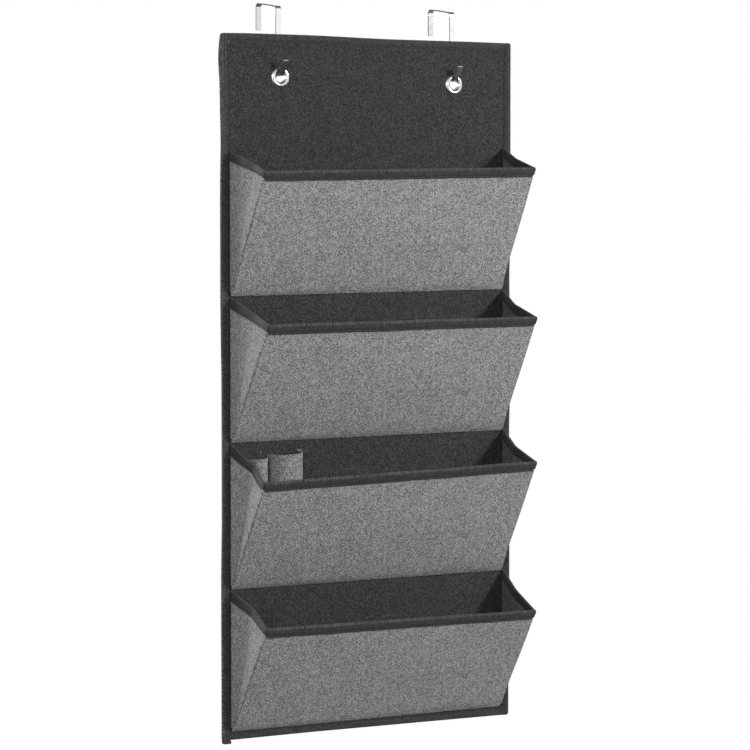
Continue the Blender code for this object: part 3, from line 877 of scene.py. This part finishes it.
def level_binding(top, tape_look, thread_look, seed):
    """The tape on the top or bottom edge, between the upright ones."""
    inward = -1 if top else 1
    reach = PANEL_HALF - BINDING + 0.0002
    section = tape_section(BINDING, EDGE_HALF, EDGE_TAPE, (LEVEL_ROW,))
    sections, path = [], []
    for x in np.linspace(-reach, reach, 90):
        edge = PANEL_TOP + float(top_rise(x)) if top else PANEL_BOTTOM - float(bottom_drop(x))
        swell = 1.0 + 0.05 * float(ripple(x, 0.0, seed))
        lean = 0.0002 * float(ripple(x, 0.4, seed + 3))

        def level(d):
            return edge + inward * (d + lean * d / BINDING)

        sections.append([(x, EDGE_MIDDLE - h * swell, level(d)) for d, h in section])
        path.append((x, EDGE_MIDDLE - (EDGE_HALF + EDGE_TAPE) * IN_STITCH * swell, level(LEVEL_ROW)))
    name = "top" if top else "bottom"
    item = swept(f"edge_tape_{name}", sections, [tape_look], [d for d, h in section])
    rear = [(x, 2 * EDGE_MIDDLE - y, z) for x, y, z in path]
    joined(item, [stitch_row(f"thread_{name}", path, (0, -1, 0), thread_look, seed),
                  stitch_row(f"thread_rear_{name}", rear, (0, 1, 0), thread_look, seed + 5)])
    fitted(item, "panel", f"binding_{name}")


# Metal.


def turned_ring(name, profile, place, material, segments=96):
    """A ring turned about Y from a closed profile of radius and Y."""
    sections = []
    for k in range(segments):
        angle = 2 * math.pi * k / segments
        across, up = math.cos(angle), math.sin(angle)
        sections.append([(place[0] + r * across, place[1] + y, place[2] + r * up) for r, y in profile])
    return swept(name, sections, [material], [r for r, y in profile], closed=True)


def build_grommet(side, chrome):
    """An eyelet: a domed flange with a rolled inner lip, its barrel and the flared back, on a flat washer."""
    bore, outer, dome, metal = 0.0055, 0.0110, 0.0016, 0.0004
    profile = []
    for k in range(17):
        t = k / 16
        r = outer + (bore - outer) * t
        rise = math.sin(math.pi * t ** 0.86) ** 0.72
        profile.append((r, -0.0002 - dome * rise))
    profile[0] = (outer, -0.0001)
    for k in range(7):
        angle = math.radians(180 - 15 * k)
        profile.append((bore + 0.0008 + 0.0008 * math.cos(angle), 0.0036 + 0.0008 * math.sin(angle)))
    profile += [(0.0066, 0.00445), (0.0073, 0.0044), (0.0074, 0.0042), (0.0073, 0.0040), (0.0060, 0.0040),
                (0.0059, 0.0038)]
    for k in range(9):
        t = 1 - k / 8
        r = outer - metal + (bore - outer + 2 * metal) * t
        rise = math.sin(math.pi * t ** 0.86) ** 0.72 if 0 < t < 1 else 0
        profile.append((r, -0.0001 - (dome - metal) * rise))
    x, z = EYELETS[side]
    ring = turned_ring(f"eyelet_{side}", profile, (x, PANEL_FRONT, z), chrome)
    fitted(ring, "panel", f"grommet_{side}")
    flat = [(0.0062, 0.0031), (0.0098, 0.0031), (0.0100, 0.0033), (0.0100, 0.0035), (0.0098, 0.0037),
            (0.0064, 0.0037), (0.0062, 0.0035)]
    washer = turned_ring(f"eyelet_washer_{side}", flat, (x, PANEL_FRONT, z), chrome)
    fitted(washer, "panel", f"grommet_washer_{side}")


def hook_line(crook_z, inside):
    """The hook's centre line as (y, z, outward y, outward z), the second pair pointing away from the door."""
    half = HOOK_HALF
    radius = inside + half
    crook_y = -half - radius
    line = []

    def straight(a, b, normal, steps):
        for k in range(steps + 1):
            t = k / steps
            line.append((a[0] + (b[0] - a[0]) * t, a[1] + (b[1] - a[1]) * t, *normal))

    def bend(centre, start, stop):
        for k in range(13):
            angle = math.radians(start + (stop - start) * k / 12)
            across, up = math.cos(angle), math.sin(angle)
            reach = HOOK_BEND + half
            line.append((centre[0] + reach * across, centre[1] + reach * up, across, up))

    rise = math.radians(HOOK_TOP_RISE)
    back = (DOOR - HOOK_BEND, (DOOR - 2 * HOOK_BEND) * math.tan(rise) - HOOK_BEND)
    straight((DOOR + half, -HOOK_BACK_LEG), (DOOR + half, back[1] - 0.0002), (1, 0), 8)
    bend(back, 0, 90 + HOOK_TOP_RISE)
    first = line[-1]
    turn, reach = math.radians(90 + HOOK_TOP_RISE), HOOK_BEND + half
    last = (HOOK_BEND + reach * math.cos(turn), -HOOK_BEND + reach * math.sin(turn))
    for k in range(1, 10):
        t = k / 10
        arch = 0.0004 * math.sin(math.pi * t)
        y, z = first[0] + (last[0] - first[0]) * t, first[1] + (last[1] - first[1]) * t
        line.append((y - arch * math.sin(rise), z + arch * math.cos(rise), -math.sin(rise), math.cos(rise)))
    bend((HOOK_BEND, -HOOK_BEND), 90 + HOOK_TOP_RISE, 180)
    straight((-half, -HOOK_BEND - 0.001), (-half, crook_z + 0.001), (-1, 0), 14)
    for k in range(25):
        angle = math.radians(-146.0 * k / 24)
        line.append((crook_y + radius * math.cos(angle), crook_z + radius * math.sin(angle),
                     -math.cos(angle), -math.sin(angle)))
    end = line[-1]
    tip = math.radians(56.0)
    for k in range(1, 7):
        d = 0.0165 * k / 6
        line.append((end[0] - d * math.cos(tip), end[1] + d * math.sin(tip), end[2], end[3]))
    return line


def mark_hook_parts(hook, size, count):
    """Narrow sides in the dark cut-edge tone as painted shade, the outer side brighter than the inner as a
    painted highlight, a darker tip as painted shade and its sheared end pale as a painted highlight.
    """
    half = size // 2
    narrow = [k % size for middle in (half - 1, size - 1) for k in range(middle - 2, middle + 3)]
    outer = range(half // 2 - 2, half // 2 + 1)
    tip = count - TIP_SECTIONS
    for index, face in enumerate(hook.data.polygons):
        station, part = divmod(index, size)
        if station >= count - 1:
            face.material_index = 4 if index == len(hook.data.polygons) - 1 else 1
        elif part in narrow:
            face.material_index = 1
        elif station >= tip:
            face.material_index = 3
        elif part in outer:
            face.material_index = 2


def build_hook(side, metals):
    """A door hook: one flat strip with eased edges, bent over the door and through the eyelet."""
    x = HOOK_X[side]
    half_width, half_thick, ease = 0.0032, HOOK_HALF, 0.00028
    outline = []
    a, b = half_width - ease, half_thick - ease
    for cx, cy, start in ((a, b, 0), (-a, b, 90), (-a, -b, 180), (a, -b, 270)):
        for k in range(4):
            angle = math.radians(start + 30 * k)
            outline.append((cx + ease * math.cos(angle), cy + ease * math.sin(angle)))
    line = hook_line(CROOK_Z + CROOK_LIFTS[side], CROOK_INSIDES[side])
    sections = []
    for y, z, ny, nz in line:
        slant = CROOK_SLANTS[side] * min(1.0, max(0.0, z / CROOK_Z)) if y < HOOK_BEND else 0.0
        sections.append([(x + slant + a, y + ny * b, z + nz * b) for a, b in outline])
    for end, near in ((0, 1), (-1, -2)):
        y, z, ny, nz = line[end]
        toward = Vector((0, line[near][0] - y, line[near][1] - z)).normalized()
        middle = x + (CROOK_SLANTS[side] if end else 0.0)
        cap = [(middle + a * 0.97, y + ny * b * 0.90, z + nz * b * 0.90) for a, b in outline]
        moved = [tuple(a + b * 0.0002 for a, b in zip(point, toward)) for point in sections[end]]
        if end == 0:
            sections[0] = moved
            sections.insert(0, cap)
        else:
            sections[-1] = moved
            sections.append(cap)
    hook = swept(f"door_hook_{side}", sections, metals, angle=10.0)
    mark_hook_parts(hook, len(outline), len(sections))
    fitted(hook, f"hook_{side}", f"hook_{side}")


# The pockets.


def pocket_sizes(number):
    k = number - 1
    seam = PANEL_TOP - SEAM_DROPS[k]
    back = SEAM_DROPS[k] - TOP_DROPS[k]
    return seam, back, back * FRONT_SHARES[k], math.radians(OPEN[k])


def side_sizes(number, side):
    """A front's height and lean at its left (-1) or right (1) edge: the fronts hang a little twisted."""
    k = number - 1
    shares, leans = (SHARES_LEFT, OPEN_LEFT) if side < 0 else (SHARES_RIGHT, OPEN_RIGHT)
    return (SEAM_DROPS[k] - TOP_DROPS[k]) * shares[k], math.radians(leans[k])


def seam_shift(number, side):
    """How far a front's bottom seam was sewn off its line at one edge."""
    return (SHIFTS_LEFT if side < 0 else SHIFTS_RIGHT)[number - 1]


def edge_draw(number, side, share):
    """How far a front's edge is drawn in by its gusset, at a share of its height."""
    if side < 0:
        return 0.0
    return DRAWS_RIGHT[number - 1] * (8.06 * (1 - share) ** 3 * share + 0.45 * (1 - share) ** 4)


def leaned(number, x, n, s):
    """World points from a pocket front's own place: across, out of its inner face, and up its slope."""
    seam, _, height, _ = pocket_sizes(number)
    left_height, left_lean = side_sizes(number, -1)
    right_height, right_lean = side_sizes(number, 1)
    share = (x / POCKET_HALF + 1) / 2
    lean = left_lean + (right_lean - left_lean) * share
    shift = seam_shift(number, -1) * (1 - share) + seam_shift(number, 1) * share
    up = s * (left_height + (right_height - left_height) * share) / height
    y = SEAM_Y - up * np.sin(lean) - n * np.cos(lean)
    z = seam + shift + up * np.cos(lean) - n * np.sin(lean)
    return np.stack([x, y, z], axis=-1)


def front_extent(number, s):
    """Half-widths of a front at a height, left and right, for its rounded lower corners."""
    def cut(radius):
        low = np.clip(radius - s, 0, radius)
        return radius - np.sqrt(np.maximum(radius ** 2 - low ** 2, 0))
    loose = 0.008 if number == 4 else 0.002
    height = pocket_sizes(number)[2]
    return POCKET_HALF - cut(0.002), POCKET_HALF - cut(loose) - edge_draw(number, 1, np.clip(s / height, 0, 1))


def eased(values, radius, total):
    """Places from 0 to total, close together near both ends."""
    near = radius * np.array([0.0, 0.06, 0.2, 0.42, 0.7, 1.0, 1.8, 3.0])
    inner = np.linspace(near[-1], total - near[-1], values)
    return np.concatenate([near[:-1], inner, total - near[:-1][::-1]])


def front_bow(x, s, number):
    """The front's slight outward bow and waviness in metres, none at its edges."""
    height = pocket_sizes(number)[2]
    across = np.clip(1 - (x / POCKET_HALF) ** 2, 0, 1)
    up = np.clip(s / height, 0, 1)
    calm = np.clip((POCKET_HALF - np.abs(x)) / 0.02, 0, 1) * np.clip(s / 0.02, 0, 1)
    bow = 0.0007 * across * np.sin(math.pi * up)
    fold = 0.00022 * ripple(x, s, 20 + number) * calm
    crease = np.zeros(np.broadcast(x, s).shape)
    rng = np.random.default_rng(50 + number)
    for _ in range(5):
        cx, cs = rng.uniform(-0.14, 0.15), rng.uniform(0.03, height - 0.03)
        length, width = rng.uniform(0.012, 0.03), rng.uniform(0.0015, 0.003)
        slant = rng.uniform(-0.25, 0.25)
        along = (x - cx) + slant * (s - cs)
        over = (s - cs) - slant * (x - cx)
        crease = crease - 0.00022 * np.exp(-(along / length) ** 2 - (over / width) ** 2)
    return bow + fold + crease


def build_front(number, looks):
    """A pocket front: the outer cloth turned round its board, the lining and the stitched rim tape."""
    _, _, height, lean = pocket_sizes(number)
    ease = 0.0011
    places = eased(34, ease, height - 0.0006)
    columns = eased(58, ease, 2 * POCKET_HALF)
    grid_s, grid_c = np.meshgrid(places, columns, indexing="ij")
    left, right = front_extent(number, grid_s)
    share = grid_c / (2 * POCKET_HALF)
    x = -left + (left + right) * share
    edge = np.minimum(np.minimum(x + left, right - x), grid_s)
    drop = ease - np.sqrt(np.maximum(ease ** 2 - np.clip(ease - edge, 0, ease) ** 2, 0))
    drop = np.maximum(drop, ROLL_DEPTH * np.clip(1 - grid_s / ROLL_REACH, 0, 1) ** 2)
    outer = STACK - 0.0001 - drop + front_bow(x, grid_s, number)
    inner_face = np.full(x.shape, 0.0007)
    points = leaned(number, x, outer, grid_s)
    rear = leaned(number, x, inner_face, grid_s)
    rows, cols = x.shape
    count = rows * cols
    uv = np.stack([x, grid_s], axis=2).reshape(-1, 2)
    vertices = np.concatenate([points.reshape(-1, 3), rear.reshape(-1, 3)])
    faces = grid_faces(rows, cols) + grid_faces(rows, cols, count, True)
    loop = border_loop(rows, cols)
    for a, b in zip(loop, loop[1:] + loop[:1]):
        faces.append((b, a, a + count, b + count))
    front = put(f"pocket_cloth_{number}", vertices, faces, np.concatenate([uv, uv]), [looks["grey"]])
    seams = []
    for side in (-1, 1):
        path = []
        for s in np.linspace(0.008, height - RIM, 40):
            edge = POCKET_HALF - 0.0006 - edge_draw(number, side, s / height)
            path.append(leaned(number, side * edge, STACK - 0.0003, s))
        away = (side * 0.5, -math.cos(lean), -math.sin(lean))
        name = f"thread_corner_{number}_{side}"
        seams.append(stitch_row(name, path, away, looks["thread"], number * 7 + side))
    joined(front, seams)
    fitted(front, f"pocket_{number}", f"pocket_front_{number}")
    build_board(number, height, looks["stiff"])

    s_in = np.linspace(0.0011, height - 0.0012, 26)
    x_in = np.linspace(-POCKET_HALF + 0.0011, POCKET_HALF - 0.0011, 50)
    sg, xg = np.meshgrid(s_in, x_in, indexing="ij")
    left, right = front_extent(number, sg)
    xg = np.clip(xg, -left + 0.0011, right - 0.0011)
    n_in = 0.00045 + 0.00008 * ripple(xg, sg, 80 + number)
    inner = leaned(number, xg, np.clip(n_in, 0.00035, 0.0006), sg)[:, ::-1]
    lining = cloth(f"pocket_inside_{number}", inner, 0.0003, [looks["dark"]], np.stack([xg, sg], 2)[:, ::-1])
    fitted(lining, f"pocket_{number}", f"pocket_lining_{number}")
    build_rim(number, height, looks)


def build_board(number, height, stiff):
    """The front's stiffening board, which follows its twist."""
    xs = np.linspace(-POCKET_HALF + 0.0012, POCKET_HALF - 0.0012, 40)
    places = np.linspace(0.0070, height - 0.0020, 14)
    grid_s, grid_x = np.meshgrid(places, xs, indexing="ij")
    _, right = front_extent(number, grid_s)
    grid_x = np.minimum(grid_x, right - 0.0012)
    face = leaned(number, grid_x, np.full(grid_x.shape, 0.0019), grid_s)
    flat = np.stack([grid_x, grid_s], 2)
    board = cloth(f"pocket_stiffener_{number}", face, 0.0010, [stiff], flat, (0, -1, 0))
    fitted(board, f"pocket_{number}", f"pocket_board_{number}")


def build_rim(number, height, looks):
    """The rim's folded tape, closed round the front's corners."""
    half = (STACK + 0.0005) / 2
    reach = POCKET_HALF
    stations = [(-reach - 0.0009, 0.62, 0.55), (-reach - 0.0007, 0.30, 0.8), (-reach - 0.0003, 0.05, 0.97)]
    near = (0.0004, 0.0011, 0.0020, 0.0032)
    stations += [(d - reach, 0.0, 1.0) for d in near]
    stations += [(float(x), 0.0, 1.0) for x in np.linspace(-reach + 0.0048, reach - 0.0048, 84)]
    stations += [(reach - d, 0.0, 1.0) for d in reversed(near)]
    stations += [(reach + 0.0003, 0.05, 0.97), (reach + 0.0007, 0.30, 0.8), (reach + 0.0009, 0.62, 0.55)]
    sections, front_path, rear_path = [], [], []
    for x, pinch, scale in stations:
        swell = 1.0 + 0.035 * float(ripple(x, 0.0, 30 + number))
        sag = 0.00016 * float(ripple(x, 0.7, 40 + number))
        centre = STACK / 2 + float(front_bow(min(max(x, -reach), reach), height - RIM / 2, number))
        trim = 1 - RIM_TRIM * math.exp(-max(0.0, reach - abs(x)) / 0.0018)
        section = tape_section(RIM, half * (1 - pinch), RIM_TAPE, (RIM_ROW,))
        sections.append([leaned(number, x, centre + h * scale * swell, height - d * trim + sag)
                         for d, h in section])
        if trim > 0.93:
            lift = (half + RIM_TAPE) * IN_STITCH * swell
            front_path.append(leaned(number, x, centre + lift, height - RIM_ROW + sag))
            rear_path.append(leaned(number, x, centre - lift, height - RIM_ROW + sag))
    rim = swept(f"rim_tape_{number}", sections, [looks["tape"]], [d for d, h in section])
    lean = pocket_sizes(number)[3]
    away = Vector((0, -math.cos(lean), -math.sin(lean)))
    joined(rim, [stitch_row(f"thread_rim_{number}", front_path, away, looks["thread"], 60 + number),
                 stitch_row(f"thread_rim_in_{number}", rear_path, -away, looks["thread"], 70 + number)])
    fitted(rim, f"pocket_{number}", f"pocket_rim_{number}")


def crease_place(number, side):
    """The share of the top edge at which a gusset is creased."""
    return (CREASES_LEFT if side < 0 else CREASES_RIGHT)[number - 1]


def crease_rise(share, fold, crease):
    """A fold of the given height at the crease, falling evenly to both sides, with a soft crown."""
    distance = abs(share - crease)
    flank = crease if share < crease else 1 - crease
    if distance < SOFT:
        distance = (distance ** 2 / SOFT + SOFT) / 2
    return fold * (1 - distance / flank)


def gusset_points(number, side, share, down):
    """A gusset's outer face: share runs from the panel to the front, down from the top edge to the foot."""
    seam, back, _, _ = pocket_sizes(number)
    height, lean = side_sizes(number, side)
    shift = seam_shift(number, side)
    setback = -0.0006
    folds = FOLDS_LEFT if side < 0 else FOLDS_RIGHT
    front_y = -height * math.sin(lean) + setback * math.cos(lean)
    front_z = shift + height * math.cos(lean) + setback * math.sin(lean)
    back = back + (TOP_LIFTS_LEFT if side < 0 else TOP_LIFTS_RIGHT)[number - 1]
    y = front_y * share
    z = back + (front_z - back) * share
    span = math.hypot(front_y, front_z - back)
    fold = crease_rise(share, folds[number - 1] * span, crease_place(number, side))
    keep = 1 - down
    z -= crease_rise(share, (SAGS_LEFT if side < 0 else SAGS_RIGHT)[number - 1], crease_place(number, side))
    wrinkle = 0.00045 * math.sin(math.pi * min(1, max(0, share))) * keep
    wrinkle *= math.sin(9 * down + 2.1 * share + number + side)
    out = (TOP_OUT if side > 0 else 0.0) * (1 - share) * keep - edge_draw(number, side, keep) * share
    x = side * (POCKET_HALF + out - fold * keep * (1 + 0.05 * math.sin(5 * down)) - wrinkle)
    return (x, SEAM_Y + y * keep, seam + shift + (z - shift) * keep)


def build_gusset(number, side, looks):
    """A side gusset with its inward crease, its seam down the front corner, and the tape on its top edge."""
    seam, back, _, middle_lean = pocket_sizes(number)
    height, lean = side_sizes(number, side)
    name = "left" if side < 0 else "right"
    crease = crease_place(number, side)
    low, high = crease - SOFT, crease + SOFT
    parts = [np.linspace(0, low, 9), np.linspace(low, high, 9), np.linspace(high, 1, 10)]
    shares = np.unique(np.concatenate(parts))
    downs = np.linspace(0.004, 0.975, 40)
    points = np.array([[gusset_points(number, side, float(a), float(d)) for a in shares] for d in downs])
    top_arc = lengths(points[:1].repeat(2, axis=0), 1)
    uv = np.zeros(points.shape[:2] + (2,))
    for i, d in enumerate(downs):
        uv[i, :, 0] = top_arc * (1 - d)
        uv[i, :, 1] = (1 - d) * height
    sides = [looks["grey"], looks["inside"]]
    item = cloth(f"gusset_cloth_{name}_{number}", points, 0.0010, sides, uv, (side, 0, 0))
    fitted(item, "panel", f"gusset_{name}_{number}")
    pressed(item)

    half = 0.0010
    top = [Vector(gusset_points(number, side, float(a), 0.0)) for a in shares]
    foot = Vector((side * POCKET_HALF, SEAM_Y, seam + seam_shift(number, side)))
    middle_shift = Vector((-side * 0.0005, 0, 0))
    section = tape_section(RIM, half, RIM_TAPE, (RIM_ROW,))
    sections, outer_path, inner_path = [], [], []
    for k, (share, edge) in enumerate(zip(shares, top)):
        down = (foot - edge).normalized()
        before, after = top[max(0, k - 1)], top[min(len(top) - 1, k + 1)]
        along = (after - before).normalized()
        out = along.cross(down).normalized()
        if out.x * side < 0:
            out = -out
        swell = 1.0 + 0.05 * float(ripple(share * 0.08, 0.0, 90 + number * 2 + side))
        centre = edge + middle_shift
        wide = (TAPE_WIDTHS_LEFT[number - 1] if side < 0 else 1.08) - TAPE_NARROWING * share
        if side < 0:
            wide *= 1 - TAPE_PINCHES_LEFT[number - 1] * math.exp(-((share - crease) / 0.22) ** 2)
        sections.append([centre + down * d * wide + out * h * swell for d, h in section])
        lift = (half + RIM_TAPE) * IN_STITCH * swell
        if 0.03 < share < 0.97:
            outer_path.append(centre + down * RIM_ROW * wide + out * lift)
            inner_path.append(centre + down * RIM_ROW * wide - out * lift)
    tape = swept(f"gusset_tape_{name}_{number}", sections, [looks["tape"]], [d for d, h in section])
    thread, tag = looks["thread"], f"{name}_{number}"
    joined(tape, [stitch_row(f"thread_gusset_{tag}", outer_path, (side, 0, 0), thread, 110 + number),
                  stitch_row(f"thread_gusset_in_{tag}", inner_path, (-side, 0, 0), thread, 120 + number)])
    fitted(tape, "panel", f"gusset_binding_{name}_{number}")
    pressed(tape)


# Pen sleeves.


def build_sleeve(name, centre_x, width, bulge, top, rises, power, looks, seed):
    """A strip sewn down on both sides and bulging between, with a turned top edge and raw corners."""
    height, cloth_thick, tab = SLEEVE_HEIGHT, 0.0007, 0.0024
    half = width / 2
    steps = 26
    profile = [(-half - tab, 0.0), (-half - tab * 0.5, 0.0001), (-half - 0.0004, 0.0002)]
    for k in range(steps + 1):
        angle = math.pi * (1 - k / steps)
        roundness = power if angle > math.pi / 2 else 0.9
        profile.append((half * math.cos(angle), 0.0002 + bulge * math.sin(angle) ** roundness))
    profile += [(half + 0.0004, 0.0002), (half + tab * 0.5, 0.0001), (half + tab, 0.0)]
    profile = np.array(profile)
    downs = np.concatenate([[0.0, 0.0004, 0.001, 0.0018, 0.0026], np.linspace(0.005, height, 22)])
    points = np.zeros((len(downs), len(profile), 3))
    for i, d in enumerate(downs):
        flare = 1.0 + 0.05 * math.exp(-d / 0.012)
        lip = 0.00025 * math.exp(-((d - 0.001) / 0.0009) ** 2)
        wave = ripple(profile[:, 0], d, seed) * 0.00035 * np.clip(profile[:, 1] / bulge, 0, 1)
        points[i, :, 0] = centre_x + profile[:, 0]
        points[i, :, 1] = SEAM_Y - cloth_thick - profile[:, 1] * flare - lip * (profile[:, 1] > 0.001) - wave
        share = np.clip((profile[:, 0] + half) / width, 0, 1)
        droop = 0.0011 * np.sin(share * math.pi) * math.exp(-d / 0.02)
        lift = rises[0] * (1 - share) ** 2 + rises[1] * 4 * share * (1 - share) + rises[2] * share ** 2
        lift = lift * math.exp(-d / 0.02)
        points[i, :, 2] = top - d - droop + lift
    points = points[::-1]
    across = lengths(points, 1)
    u, v = np.meshgrid(across, points[:, 0, 2])
    item = cloth(f"sleeve_cloth_{name}", points, cloth_thick, [looks["sleeve"]], np.stack([u, v], 2))
    threads = []
    for k, side in enumerate((-1, 1)):
        x = centre_x + side * (half + tab * 0.45)
        path = [(x, SEAM_Y - cloth_thick - 0.0001, top - d) for d in np.linspace(0.001, height - 0.002, 20)]
        threads.append(stitch_row(f"thread_sleeve_{name}_{k}", path, (0, -1, 0), looks["thread"], seed + k))
    joined(item, threads)
    fitted(item, "panel", f"pen_sleeve_{name}")
    pressed(item)


def fray(name, place, seed, material, count=5, length=0.004, spread=0.0012):
    """A few loose thread ends at a raw corner."""
    rng = random.Random(seed)
    vertices, faces, uvs = [], [], []
    for _ in range(count):
        shift = (rng.uniform(-spread, spread), -rng.uniform(0, 0.0004), rng.uniform(-spread, spread) * 0.4)
        start = Vector(place) + Vector(shift)
        heading = Vector((rng.uniform(-0.7, 0.7), -rng.uniform(0.1, 0.6), rng.uniform(0.5, 1.0))).normalized()
        reach = length * rng.uniform(0.5, 1.0)
        base = len(vertices)
        for step in range(5):
            t = step / 4
            curl = Vector((0.3 * math.sin(3 * t + base), -0.1 * t, -0.35 * t * t))
            spot = start + heading * reach * t + curl * reach * 0.5
            for k in range(5):
                angle = 2 * math.pi * k / 5
                vertices.append(spot + Vector((math.cos(angle), 0, math.sin(angle))) * 0.00016 * (1 - 0.4 * t))
                uvs.append((reach * t, k * 0.0001))
        faces += tube_faces(5, 5, base)
    return put(name, vertices, faces, uvs, [material], angle=80.0)


def build_frays(looks):
    spots = {
        "narrow": ((-0.1380, SEAM_Y - 0.0016, -0.4826), 3, 0.0026),
        "wide": ((-0.0904, SEAM_Y - 0.0016, -0.4826), 7, 0.0040),
    }
    for name, (place, count, length) in spots.items():
        item = fray(f"thread_ends_{name}", place, len(name), looks["pale"], count, length)
        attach(item, "panel")
        pressed(item)
    place = (-PANEL_HALF + 0.0088, PANEL_FRONT - 0.0012, PANEL_TOP - 0.0078)
    knot = fray("thread_knot", place, 3, looks["pale"], 3, 0.0016, 0.0004)
    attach(knot, "panel")


def main():
    make_camera()
    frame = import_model()
    make_light()
    make_floor()
    looks = {
        "grey": cloth_material("heathered_grey_weave", 0.290, *HEATHER),
        # The gussets' inner faces: the grey weave at under half its level, the cloth's back darkened further as
        # painted shade inside the pocket.
        "inside": cloth_material("grey_weave_back_painted_shade", 0.115, *HEATHER),
        "dark": cloth_material("charcoal_weave", 0.0335, 0.00135, False, (0.30, 1.70), 0.60, 0.5),
        "tape": tape_material("charcoal_tape", 0.035, (RIM_ROW,)),
        # The left edge's tape is the same tape as the others, set brighter as painted light.
        "left": tape_material("left_edge_tape_painted_light", 0.054, LEFT_ROWS),
        "right": tape_material("right_edge_tape", 0.038, RIGHT_ROWS),
        "thread": thread_material("charcoal_thread", 0.010),
        "pale": thread_material("pale_thread", 0.55),
        # The pen sleeves: the grey weave set darker as painted shade inside the pocket.
        "sleeve": cloth_material("sleeve_weave_painted_shade", 0.235, *HEATHER),
        "stiff": cloth_material("stiffener_board", 0.30, 0.0009, False, (0.97, 1.03), 0.12, 0.5),
    }
    chrome = metal_material("polished_nickel", 0.80, 0.05, 0.10, 420.0, 1.0, True)
    steel = metal_material("bright_plated_strip", 0.74, 0.02, 0.04, 900.0, 0.06)
    # Painted highlight: the strip's outer side is a brighter copy of the same plating.
    outer = metal_material("plated_outer_side_painted_highlight", 0.92, 0.02, 0.04, 900.0, 0.06)
    # Painted shade: the hook's tip is a darker copy of the plating, with a rougher polish.
    painted_shade_tip = metal_material("hook_tip_painted_shade", 0.34, 0.28, 0.36, 900.0, 0.06)
    # The hook's cut edges in two tones: darker on the narrow sides as painted shade, paler at the tip's end as
    # a painted highlight.
    cut = sheared_material("cut_edge_painted_shade", 0.11)
    sheared = sheared_material("sheared_hook_end_painted_highlight", 0.50)
    metals = [steel, cut, outer, painted_shade_tip, sheared]
    build_panel(looks["dark"], looks["thread"])
    side_binding(-1, looks["left"], looks["thread"], 11)
    side_binding(1, looks["right"], looks["thread"], 13)
    level_binding(True, looks["tape"], looks["thread"], 15)
    level_binding(False, looks["tape"], looks["thread"], 17)
    for side in ("left", "right"):
        build_grommet(side, chrome)
        build_hook(side, metals)
    for number in range(1, 5):
        build_front(number, looks)
        for side in (-1, 1):
            build_gusset(number, side, looks)
    for name, shift, width, bulge, rises, power, seed in SLEEVES:
        low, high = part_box(f"pen_sleeve_{name}")
        build_sleeve(name, (low[0] + high[0]) / 2 + shift, width, bulge, high[2], rises, power, looks, seed)
    build_frays(looks)
    board = frame["nodes"]["panel_board"]
    board.data.materials.clear()
    board.data.materials.append(looks["stiff"])
    bpy.context.scene.view_settings.view_transform = "Standard"


main()
